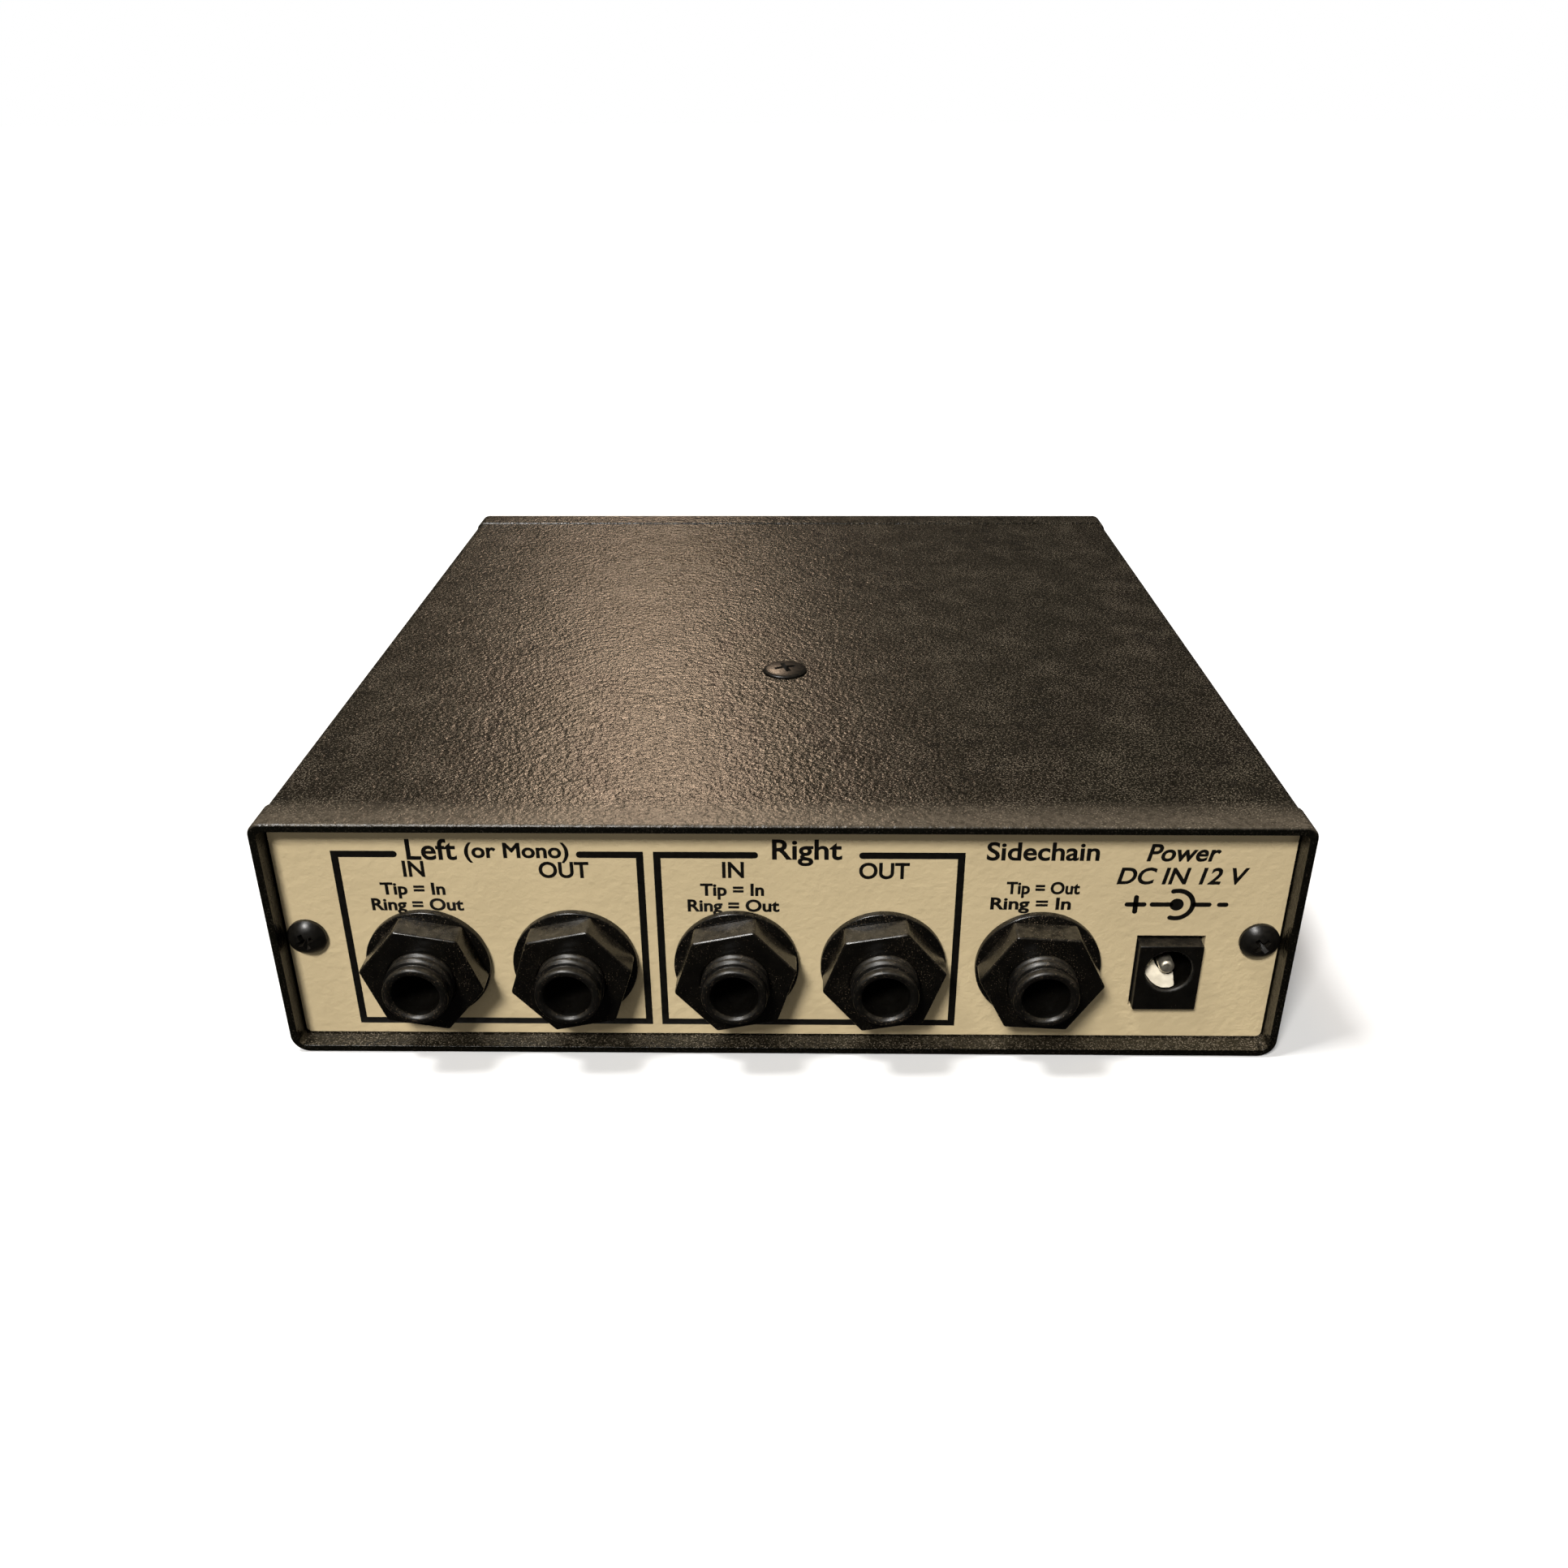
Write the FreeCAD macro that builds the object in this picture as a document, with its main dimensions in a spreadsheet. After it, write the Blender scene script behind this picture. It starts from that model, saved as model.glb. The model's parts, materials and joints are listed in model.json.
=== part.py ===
import FreeCAD, Part
import math
import os
import re

import Sketcher

# Rack effects unit, third-rack width. Millimetres, +Z up, socket panel facing -Y,
# control panel facing +Y, origin under the middle of the case at the level it stands on.

os.makedirs("parts", exist_ok=True)
doc = FreeCAD.newDocument("rack_effects_unit")

SIZES = {
    # case sleeve
    "case_width": 140.0,
    "case_height": 37.2,
    "case_depth": 145.0,
    "band_width": 6.0,
    "band_radius": 1.8,
    "band_foot_radius": 2.6,
    "band_slope": 0.2,
    "band_edge": 0.4,
    "waist_side": 0.25,
    "waist_top": 0.25,
    "wall_side": 2.4,
    "wall_top": 2.6,
    "inner_radius": 1.9,
    "lip_wall": 1.15,
    "lip_radius": 1.0,
    "panel_recess": 3.0,
    "boss_length": 12.0,
    "boss_inset": 3.2,
    "boss_height": 6.4,
    "rib_reach": 2.8,
    "rib_thickness": 1.6,
    # panels and their screws
    "panel_thickness": 1.6,
    "panel_gap": 0.2,
    "panel_screw_x": 65.8,
    "panel_screw_z": 17.9,
    "panel_hole": 1.6,
    "screw_shank": 1.4,
    "screw_fit": 0.05,
    "screw_length": 9.0,
    "screw_head": 2.75,
    "screw_rim": 0.6,
    "screw_dome": 1.3,
    "cross_width": 0.75,
    "cross_span": 2.9,
    "cross_depth": 1.1,
    # circuit board and the pillar under the top screw
    "board_top": 6.85,
    "board_thickness": 1.6,
    "board_gap": 0.4,
    "board_edge_gap": 0.2,
    "pillar_y": -19.0,
    "pillar_radius": 3.6,
    "pillar_bore": 1.8,
    "top_screw_head": 3.55,
    "top_screw_shank": 1.75,
    "top_screw_length": 11.0,
    "top_screw_rim": 0.3,
    "top_screw_dome": 0.4,
    "top_screw_cone": 1.7,
    # quarter-inch sockets
    "jack_1_x": -49.3,
    "jack_2_x": -28.7,
    "jack_3_x": -6.2,
    "jack_4_x": 14.2,
    "jack_5_x": 35.7,
    "jack_z": 13.65,
    "jack_proud": 5.5,
    "jack_nose": 4.7,
    "jack_collar": 4.45,
    "jack_collar_length": 1.5,
    "jack_bore": 3.25,
    "jack_lip": 0.3,
    "jack_body_width": 16.0,
    "jack_body_depth": 24.0,
    "jack_body_height": 14.4,
    "jack_depth": 32.0,
    "jack_slot_width": 4.4,
    "jack_slot_reach": 5.9,
    "jack_hole": 4.95,
    "washer_radius": 8.7,
    "washer_thickness": 1.0,
    "nut_flats": 14.9,
    "nut_height": 3.9,
    "nut_bore": 4.75,
    "contact_width": 3.0,
    "contact_thickness": 0.4,
    "contact_bump": 3.05,
    "leg_side": 0.8,
    "leg_below": 1.2,
    # power socket
    "power_x": 53.8,
    "power_z": 13.35,
    "power_width": 8.8,
    "power_top": 17.5,
    "power_face": 1.25,
    "power_depth": 14.4,
    "power_bore": 3.2,
    "power_bore_depth": 9.6,
    "power_pin": 1.05,
    "power_pin_inset": 0.9,
    "power_hole_gap": 0.3,
    "power_hole_top": 18.5,
    "power_leaf": 0.35,
    # rotary controls
    "knob_pitch": 21.0,
    "knob_first_x": 50.0,
    "knob_z": 14.85,
    "pot_width": 10.0,
    "pot_depth": 6.5,
    "pot_height": 13.0,
    "bush_radius": 4.0,
    "bush_length": 4.5,
    "shaft_radius": 3.0,
    "shaft_fit": 0.05,
    "shaft_flat": 1.5,
    "rotor_radius": 3.9,
    "rotor_length": 2.0,
    "rotor_gap": 0.4,
    "pot_nut_flats": 10.0,
    "pot_nut_height": 1.6,
    "pot_washer_radius": 5.6,
    "pot_washer_thickness": 0.5,
    "knob_radius": 7.5,
    "knob_nose": 6.8,
    "knob_back_gap": 0.5,
    "knob_recess": 6.3,
    "knob_recess_depth": 2.8,
    "knob_wall": 1.6,
    "knob_mark": 0.9,
    # push switches
    "button_first_x": -46.5,
    "button_pitch": -9.5,
    "button_z": 12.35,
    "button_side": 6.0,
    "button_gap": 0.3,
    "button_proud": 5.0,
    "button_flange": 0.9,
    "button_travel": 2.5,
    "switch_side": 8.5,
    "switch_depth": 7.0,
    "switch_front_gap": 4.9,
    "plunger_side": 3.0,
    "plunger_fit": 0.15,
    # lights
    "light_radius": 1.5,
    "light_flange": 1.9,
    "light_proud": 1.2,
    "light_back": 4.4,
    "light_hole": 1.6,
    "meter_first_x": 17.5,
    "meter_pitch": -5.0,
    "meter_z": 28.5,
    "status_z": 24.0,
    "leg_spread": 1.27,
    "leg_wire": 0.5,
    # parts standing on the board
    "chip_length": 19.3,
    "chip_width": 6.4,
    "chip_height": 3.3,
    "chip_lift": 0.5,
    "chip_pitch": 2.54,
    "can_radius": 3.15,
    "can_height": 11.0,
    "regulator_width": 10.0,
    "regulator_height": 15.0,
}

ALIAS = re.compile(r"\b(" + "|".join(sorted(SIZES, key=len, reverse=True)) + r")\b")

sheet = doc.addObject("Spreadsheet::Sheet", "Sizes")
for row, (alias, size) in enumerate(SIZES.items(), start=1):
    sheet.set(f"A{row}", alias)
    sheet.set(f"B{row}", str(size))
    sheet.setAlias(f"B{row}", alias)
doc.recompute()

# Heights and depths used in many places, as formulas on the sheet.
REAR = "(-case_depth / 2)"
FRONT = "(case_depth / 2)"
REAR_PANEL_FACE = "(-case_depth / 2 + panel_recess)"
REAR_PANEL_BACK = "(-case_depth / 2 + panel_recess + panel_thickness)"
FRONT_PANEL_FACE = "(case_depth / 2 - panel_recess)"
FRONT_PANEL_BACK = "(case_depth / 2 - panel_recess - panel_thickness)"
NOSE_TIP = "(-case_depth / 2 - jack_proud)"
KNOB_TIP = "(case_depth / 2 + jack_proud)"
BOARD_UNDERSIDE = "(board_top - board_thickness)"

JACKS = ["jack_1_x", "jack_2_x", "jack_3_x", "jack_4_x", "jack_5_x"]
KNOBS = ["threshold", "ratio", "attack", "release", "level"]
BUTTONS = ["bypass", "mode"]
METER_LIGHTS = 8
NODES = []


def sized(formula):
    """Turn plain size names in a formula into references to the sheet."""
    return ALIAS.sub(r"Sizes.\1", str(formula))


def number(formula):
    """Value of a formula now, used only to draw sketches near their final size."""
    return float(sheet.evalExpression(sized(formula)))


def bind(feature, formulas):
    for path, formula in formulas.items():
        feature.setExpression(path, sized(formula))
    return feature


def node(feature, name):
    """Mark a finished feature as one sub-part."""
    feature.Label = name
    NODES.append(feature)
    return feature


def box(low, high):
    """Box between two corners, each given as three formulas."""
    feature = doc.addObject("Part::Box", "Box")
    formulas = {}
    for side, axis, start, end in zip(("Length", "Width", "Height"), "xyz", low, high):
        formulas[side] = f"({end}) - ({start})"
        formulas[f"Placement.Base.{axis}"] = start
    return bind(feature, formulas)


def block(x, width, y_low, y_high, z_low, z_high):
    """Box centred on x."""
    return box((f"{x} - ({width}) / 2", y_low, z_low), (f"{x} + ({width}) / 2", y_high, z_high))


def along_y(feature, x, y, z, turn=0.0):
    """Lay a feature built along +Z down along +Y."""
    lay = FreeCAD.Rotation(FreeCAD.Vector(1, 0, 0), -90)
    spin = FreeCAD.Rotation(FreeCAD.Vector(0, 0, 1), turn)
    feature.Placement = FreeCAD.Placement(FreeCAD.Vector(), lay.multiply(spin))
    return bind(feature, {"Placement.Base.x": x, "Placement.Base.y": y, "Placement.Base.z": z})


def rod(radius, start, end, x, z):
    """Cylinder along Y."""
    feature = doc.addObject("Part::Cylinder", "Rod")
    bind(feature, {"Radius": radius, "Height": f"({end}) - ({start})"})
    return along_y(feature, x, start, z)


def taper(radius_start, radius_end, start, end, x, z):
    """Cone along Y."""
    feature = doc.addObject("Part::Cone", "Taper")
    bind(feature, {"Radius1": radius_start, "Radius2": radius_end, "Height": f"({end}) - ({start})"})
    return along_y(feature, x, start, z)


def post(radius, bottom, top, x, y):
    """Cylinder along Z."""
    feature = doc.addObject("Part::Cylinder", "Post")
    return bind(feature, {
        "Radius": radius,
        "Height": f"({top}) - ({bottom})",
        "Placement.Base.x": x,
        "Placement.Base.y": y,
        "Placement.Base.z": bottom,
    })


def hexagon(flats, height):
    """Six-sided prism along Z, sized across its flats."""
    feature = doc.addObject("Part::Prism", "Hexagon")
    feature.Polygon = 6
    return bind(feature, {"Circumradius": f"({flats}) / sqrt(3)", "Height": height})


def fuse(shapes):
    if len(shapes) == 1:
        return shapes[0]
    feature = doc.addObject("Part::MultiFuse", "Joined")
    feature.Shapes = shapes
    return feature


def cut(base, tools):
    feature = doc.addObject("Part::Cut", "Cut")
    feature.Base = base
    feature.Tool = fuse(tools)
    return feature


def new_body(name):
    return node(doc.addObject("PartDesign::Body", "Body"), name)


def origin_plane(body, role):
    return next(item for item in body.Origin.OriginFeatures if item.Role == role)


def sketch_on(body, role, offset="0"):
    """Sketch on one of the body's own planes, moved along the plane's normal."""
    sketch = body.newObject("Sketcher::SketchObject", "Sketch")
    sketch.AttachmentSupport = [(origin_plane(body, role), "")]
    sketch.MapMode = "FlatFace"
    return bind(sketch, {"AttachmentOffset.Base.z": offset})


def fix(sketch, kind, geometry, point, formula):
    """Hold a point at a distance from the sketch's origin."""
    index = sketch.addConstraint(Sketcher.Constraint(kind, -1, 1, geometry, point, number(formula)))
    bind(sketch, {f"Constraints[{index}]": formula})


def circle(sketch, x, y, radius):
    centre = FreeCAD.Vector(number(x), number(y), 0)
    ring = sketch.addGeometry(Part.Circle(centre, FreeCAD.Vector(0, 0, 1), number(radius)))
    fix(sketch, "DistanceX", ring, 3, x)
    fix(sketch, "DistanceY", ring, 3, y)
    index = sketch.addConstraint(Sketcher.Constraint("Radius", ring, number(radius)))
    bind(sketch, {f"Constraints[{index}]": radius})


def rectangle(sketch, left, right, bottom, top):
    corners = [
        FreeCAD.Vector(number(x), number(y), 0)
        for x, y in ((left, bottom), (right, bottom), (right, top), (left, top))
    ]
    lines = [
        sketch.addGeometry(Part.LineSegment(corners[i], corners[(i + 1) % 4])) for i in range(4)
    ]
    for i in range(4):
        sketch.addConstraint(Sketcher.Constraint("Coincident", lines[i], 2, lines[(i + 1) % 4], 1))
        kind = "Horizontal" if i % 2 == 0 else "Vertical"
        sketch.addConstraint(Sketcher.Constraint(kind, lines[i]))
    fix(sketch, "DistanceX", lines[0], 1, left)
    fix(sketch, "DistanceX", lines[1], 1, right)
    fix(sketch, "DistanceY", lines[0], 1, bottom)
    fix(sketch, "DistanceY", lines[2], 1, top)


def rounded_rectangle(sketch, left, right, bottom, top, radius, foot_radius=None):
    """Four sides and four quarter arcs, held by tangency. The lower two arcs may have their own radius."""
    foot_radius = foot_radius or radius
    x1, x2, y1, y2 = (number(size) for size in (left, right, bottom, top))
    r, f = number(radius), number(foot_radius)
    sides = [
        ((x1 + f, y1), (x2 - f, y1)),
        ((x2, y1 + f), (x2, y2 - r)),
        ((x2 - r, y2), (x1 + r, y2)),
        ((x1, y2 - r), (x1, y1 + f)),
    ]
    centres = [(x2 - f, y1 + f, f), (x2 - r, y2 - r, r), (x1 + r, y2 - r, r), (x1 + f, y1 + f, f)]
    lines = []
    arcs = []
    for index, (start, end) in enumerate(sides):
        line = Part.LineSegment(FreeCAD.Vector(*start, 0), FreeCAD.Vector(*end, 0))
        lines.append(sketch.addGeometry(line))
        across, up, bend = centres[index]
        ring = Part.Circle(FreeCAD.Vector(across, up, 0), FreeCAD.Vector(0, 0, 1), bend)
        begin = math.pi / 2 * (index - 1)
        arcs.append(sketch.addGeometry(Part.ArcOfCircle(ring, begin, begin + math.pi / 2)))
    for i in range(4):
        sketch.addConstraint(Sketcher.Constraint("Tangent", lines[i], 2, arcs[i], 1))
        sketch.addConstraint(Sketcher.Constraint("Tangent", arcs[i], 2, lines[(i + 1) % 4], 1))
        kind = "Horizontal" if i % 2 == 0 else "Vertical"
        sketch.addConstraint(Sketcher.Constraint(kind, lines[i]))
    for first, second, bend in ((0, 3, foot_radius), (1, 2, radius)):
        sketch.addConstraint(Sketcher.Constraint("Equal", arcs[first], arcs[second]))
        index = sketch.addConstraint(Sketcher.Constraint("Radius", arcs[first], number(bend)))
        bind(sketch, {f"Constraints[{index}]": bend})
    fix(sketch, "DistanceY", lines[0], 1, bottom)
    fix(sketch, "DistanceX", lines[1], 1, right)
    fix(sketch, "DistanceY", lines[2], 1, top)
    fix(sketch, "DistanceX", lines[3], 1, left)


def pad(body, sketch, length, both_ways=False):
    feature = body.newObject("PartDesign::Pad", "Pad")
    feature.Profile = sketch
    if both_ways:
        feature.SideType = "Symmetric"
    bind(feature, {"Length": length})
    body.Tip = feature
    return feature


def pocket(body, sketch, length, both_ways=False):
    feature = body.newObject("PartDesign::Pocket", "Pocket")
    feature.Profile = sketch
    if both_ways:
        feature.SideType = "Symmetric"
    bind(feature, {"Length": length})
    body.Tip = feature
    return feature


def dress_edges(body, kind, depth):
    """Chamfer or fillet every edge of the band outline that lies at y = +depth or -depth."""
    doc.recompute()
    tip = body.Tip
    reach = number("case_width / 2") - 0.01
    top = number("case_height") - 0.01
    names = []
    for index, edge in enumerate(tip.Shape.Edges, start=1):
        span = edge.BoundBox
        flat = span.YLength < 0.01 and abs(abs(span.YMin) - number(depth)) < 0.01
        outer = span.XMax > reach or span.XMin < -reach or span.ZMin < 0.01 or span.ZMax > top
        if flat and outer:
            names.append(f"Edge{index}")
    feature = body.newObject(f"PartDesign::{kind}", kind)
    feature.Base = (tip, names)
    body.Tip = feature
    return feature


# ---------------------------------------------------------------------------
# Case sleeve: a moulded tube, open at both ends, with a raised band round each end.
# The sketch plane's normal is -Y, so a sketch at depth y sits at an offset of -y.

case = new_body("case_sleeve")
outline = sketch_on(case, "XZ_Plane")
rounded_rectangle(
    outline, "-case_width / 2", "case_width / 2", "0", "case_height", "band_radius", "band_foot_radius",
)
pad(case, outline, "case_depth", both_ways=True)

waist = sketch_on(case, "XZ_Plane")
rectangle(waist, "-case_width", "case_width", "-case_height", "2 * case_height")
rounded_rectangle(
    waist, "-case_width / 2 + waist_side", "case_width / 2 - waist_side",
    "waist_top", "case_height - waist_top", "band_radius - waist_side", "band_foot_radius - waist_side",
)
pocket(case, waist, "case_depth - 2 * band_width", both_ways=True)

slope = dress_edges(case, "Chamfer", "case_depth / 2 - band_width")
bind(slope, {"Size": "band_slope"})
rounding = dress_edges(case, "Fillet", "case_depth / 2")
bind(rounding, {"Radius": "band_edge"})

cavity = sketch_on(case, "XZ_Plane")
rounded_rectangle(
    cavity, "-case_width / 2 + wall_side", "case_width / 2 - wall_side",
    "wall_top", "case_height - wall_top", "inner_radius",
)
pocket(case, cavity, "2 * case_depth", both_ways=True)

for end in (-1, 1):
    seat = sketch_on(case, "XZ_Plane", f"{end} * (case_depth / 2 - (panel_recess + panel_thickness) / 2)")
    rounded_rectangle(
        seat, "-case_width / 2 + lip_wall", "case_width / 2 - lip_wall",
        "lip_wall", "case_height - lip_wall", "lip_radius",
    )
    pocket(case, seat, "panel_recess + panel_thickness", both_ways=True)

ledge = "(case_depth / 2 - panel_recess - panel_thickness)"
for end in (-1, 1):
    for side in (-1, 1):
        boss = sketch_on(case, "XZ_Plane", f"{end} * ({ledge} - boss_length / 2)")
        inner = f"{side} * (panel_screw_x - boss_inset)"
        outer = f"{side} * (case_width / 2 - wall_side + 0.5)"
        left, right = (outer, inner) if side < 0 else (inner, outer)
        rectangle(
            boss, left, right,
            "panel_screw_z - boss_height / 2", "panel_screw_z + boss_height / 2",
        )
        pad(case, boss, "boss_length", both_ways=True)
        pilot = sketch_on(case, "XZ_Plane", f"{end} * ({ledge} - (boss_length - 2) / 2)")
        circle(pilot, f"{side} * panel_screw_x", "panel_screw_z", "screw_shank + screw_fit")
        pocket(case, pilot, "boss_length - 2", both_ways=True)

for side in (-1, 1):
    for low, high in (
        ("wall_top - 0.5", "board_top - board_thickness"),
        ("board_top + board_edge_gap", "board_top + board_edge_gap + rib_thickness"),
    ):
        rib = sketch_on(case, "XZ_Plane")
        inner = f"{side} * (case_width / 2 - wall_side - rib_reach)"
        outer = f"{side} * (case_width / 2 - wall_side + 0.5)"
        left, right = (outer, inner) if side < 0 else (inner, outer)
        rectangle(rib, left, right, low, high)
        pad(case, rib, f"2 * {ledge}", both_ways=True)

drill = sketch_on(case, "XY_Plane", "case_height - waist_top")
circle(drill, "0", "pillar_y", "top_screw_head")
doc.recompute()
sink = case.newObject("PartDesign::Hole", "Countersink")
sink.Profile = drill
sink.Threaded = False
sink.HoleCutType = "Countersink"
sink.HoleCutCustomValues = True
sink.DepthType = "Dimension"
bind(sink, {
    "Depth": "wall_top - waist_top + 2",
    "Diameter": "2 * top_screw_shank + 0.4",
    "HoleCutDiameter": "2 * top_screw_head + 0.3",
})
sink.HoleCutCountersinkAngle = 90
case.Tip = sink

# ---------------------------------------------------------------------------
# Panels, each with every hole in one sketch.


def panel(name, middle_y):
    body = new_body(name)
    sketch = sketch_on(body, "XZ_Plane", f"-({middle_y})")
    edge = "(lip_wall + panel_gap)"
    rounded_rectangle(
        sketch, f"-case_width / 2 + {edge}", f"case_width / 2 - {edge}",
        edge, f"case_height - {edge}", "lip_radius - panel_gap",
    )
    for side in (-1, 1):
        circle(sketch, f"{side} * panel_screw_x", "panel_screw_z", "panel_hole")
    pad(body, sketch, "panel_thickness", both_ways=True)
    return sketch


rear_holes = panel("rear_panel", f"{REAR_PANEL_FACE} + panel_thickness / 2")
for jack_x in JACKS:
    circle(rear_holes, jack_x, "jack_z", "jack_hole")
rectangle(
    rear_holes,
    "power_x - power_width / 2 - power_hole_gap", "power_x + power_width / 2 + power_hole_gap",
    "board_top - 0.1", "power_hole_top",
)

front_holes = panel("front_panel", f"{FRONT_PANEL_FACE} - panel_thickness / 2")
for position in range(len(KNOBS)):
    circle(front_holes, f"knob_first_x - {position} * knob_pitch", "knob_z", "bush_radius + 0.15")
for position in range(len(BUTTONS)):
    middle = f"button_first_x + {position} * button_pitch"
    reach = "(button_side / 2 + button_gap)"
    rectangle(
        front_holes, f"{middle} - {reach}", f"{middle} + {reach}",
        f"button_z - {reach}", f"button_z + {reach}",
    )
    circle(front_holes, middle, "status_z", "light_hole")
for position in range(METER_LIGHTS):
    circle(front_holes, f"meter_first_x + {position} * meter_pitch", "meter_z", "light_hole")


# ---------------------------------------------------------------------------
# Screws. Each is drawn along Y and cut with a cross recess.


def pan_screw(x, z, face, outward):
    """Domed cross-recess screw whose head sits on the plane y = face."""
    bulge = "((screw_head ^ 2 + screw_dome ^ 2) / (2 * screw_dome))"
    turn = 0.0 if outward > 0 else 180.0
    rim_end = f"{face} + {outward} * screw_rim"
    dome = doc.addObject("Part::Sphere", "Dome")
    dome.Angle2 = 90
    bind(dome, {"Radius": bulge, "Angle1": f"asin(({bulge} - screw_dome) / {bulge})"})
    lay = FreeCAD.Rotation(FreeCAD.Vector(1, 0, 0), -90 + turn)
    dome.Placement = FreeCAD.Placement(FreeCAD.Vector(), lay)
    bind(dome, {
        "Placement.Base.x": x,
        "Placement.Base.y": f"{rim_end} - {outward} * ({bulge} - screw_dome)",
        "Placement.Base.z": z,
    })
    top = f"{face} + {outward} * (screw_rim + screw_dome)"
    floor = f"{top} - {outward} * cross_depth"
    head_low, head_high = (face, rim_end) if outward > 0 else (rim_end, face)
    shank_end = f"{face} - {outward} * screw_length"
    shank_low, shank_high = (shank_end, face) if outward > 0 else (face, shank_end)
    cut_end = f"{top} + {outward} * 1"
    cross_low, cross_high = (floor, cut_end) if outward > 0 else (cut_end, floor)
    solid = fuse([
        rod("screw_head", head_low, head_high, x, z),
        rod("screw_shank", shank_low, shank_high, x, z),
        dome,
    ])
    return cut(solid, [
        block(x, "cross_span", cross_low, cross_high, f"{z} - cross_width / 2", f"{z} + cross_width / 2"),
        block(x, "cross_width", cross_low, cross_high, f"{z} - cross_span / 2", f"{z} + cross_span / 2"),
    ])


node(fuse([
    pan_screw("-panel_screw_x", "panel_screw_z", REAR_PANEL_FACE, -1),
    pan_screw("panel_screw_x", "panel_screw_z", REAR_PANEL_FACE, -1),
]), "rear_panel_screws")
node(fuse([
    pan_screw("-panel_screw_x", "panel_screw_z", FRONT_PANEL_FACE, 1),
    pan_screw("panel_screw_x", "panel_screw_z", FRONT_PANEL_FACE, 1),
]), "front_panel_screws")

waist_level = "(case_height - waist_top)"
head_cone = bind(doc.addObject("Part::Cone", "HeadCone"), {
    "Radius1": "top_screw_head - top_screw_cone",
    "Radius2": "top_screw_head",
    "Height": "top_screw_cone",
    "Placement.Base.y": "pillar_y",
    "Placement.Base.z": f"{waist_level} - top_screw_cone",
})
head_bulge = "((top_screw_head ^ 2 + top_screw_dome ^ 2) / (2 * top_screw_dome))"
head_dome = doc.addObject("Part::Sphere", "HeadDome")
head_dome.Angle2 = 90
bind(head_dome, {
    "Radius": head_bulge,
    "Angle1": f"asin(({head_bulge} - top_screw_dome) / {head_bulge})",
    "Placement.Base.y": "pillar_y",
    "Placement.Base.z": f"{waist_level} + top_screw_rim - ({head_bulge} - top_screw_dome)",
})
head = fuse([
    head_cone,
    head_dome,
    post("top_screw_head", waist_level, f"{waist_level} + top_screw_rim", "0", "pillar_y"),
    post("top_screw_shank", f"{waist_level} - top_screw_length", f"{waist_level} - 0.5", "0", "pillar_y"),
])
recess_low = f"{waist_level} - 0.8"
recess_high = f"{waist_level} + 2"
node(cut(head, [
    box(("-cross_width / 2", "pillar_y - 1.9", recess_low), ("cross_width / 2", "pillar_y + 1.9", recess_high)),
    box(("-1.9", "pillar_y - cross_width / 2", recess_low), ("1.9", "pillar_y + cross_width / 2", recess_high)),
]), "top_screw")

pillar = bind(hexagon("2 * pillar_radius * cos(30)", f"case_height - wall_top - board_top"), {
    "Placement.Base.y": "pillar_y",
    "Placement.Base.z": "board_top",
})
node(cut(pillar, [post("pillar_bore", "0", "case_height", "0", "pillar_y")]), "top_standoff")

screw_stem = post("top_screw_shank", f"{BOARD_UNDERSIDE} - 0.2", "board_top + 7", "0", "pillar_y")
screw_disc = post("3.1", f"{BOARD_UNDERSIDE} - 1.6", BOARD_UNDERSIDE, "0", "pillar_y")
stem_slots = [
    box(("-2.2", "pillar_y - 0.4", f"{BOARD_UNDERSIDE} - 2"), ("2.2", "pillar_y + 0.4", f"{BOARD_UNDERSIDE} - 0.8")),
    box(("-0.4", "pillar_y - 2.2", f"{BOARD_UNDERSIDE} - 2"), ("0.4", "pillar_y + 2.2", f"{BOARD_UNDERSIDE} - 0.8")),
]
node(cut(fuse([screw_stem, screw_disc]), stem_slots), "standoff_screw")

# ---------------------------------------------------------------------------
# Quarter-inch sockets: threaded nose through the panel, box body on the board,
# and three bent springs (tip, ring, sleeve) in slots above and below the bore.

LEG_HOLES = []
BODY_BACK = f"({REAR_PANEL_BACK} + jack_body_depth)"
BORE_END = f"({NOSE_TIP} + jack_depth)"
JACK_NUT_TURNS = [10.0, -12.0, -12.0, -10.0, 3.0]
JACK_NUT_FACE = f"({REAR_PANEL_FACE} - washer_thickness)"
TIP_SPRING_Y = f"({NOSE_TIP} + 28.5)"
RING_SPRING_Y = f"({NOSE_TIP} + 21.5)"
SLEEVE_SPRING_Y = f"({NOSE_TIP} + 14.5)"


def contact(x, y, above):
    """Strip beside the bore and a leg through the board; one above the bore reaches round it."""
    if above:
        low = "jack_z + contact_bump"
        leg_x = f"({x} + jack_bore + 0.9)"
    else:
        low = "jack_z - contact_bump - contact_thickness"
        leg_x = x
    high = f"{low} + contact_thickness"
    leg_y = f"({y} + 2.2)"
    strip = block(x, "contact_width", f"{y} - 1.2", f"{y} + 2.6", low, high)
    bridge = box(
        (x, f"{leg_y} - leg_side / 2", low), (f"{leg_x} + leg_side / 2", f"{leg_y} + leg_side / 2", high),
    )
    leg = block(
        leg_x, "leg_side", f"{leg_y} - leg_side / 2", f"{leg_y} + leg_side / 2",
        f"{BOARD_UNDERSIDE} - leg_below", high,
    )
    LEG_HOLES.append((leg_x, leg_y, "leg_side * 0.8"))
    return fuse([strip, bridge, leg])


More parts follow.
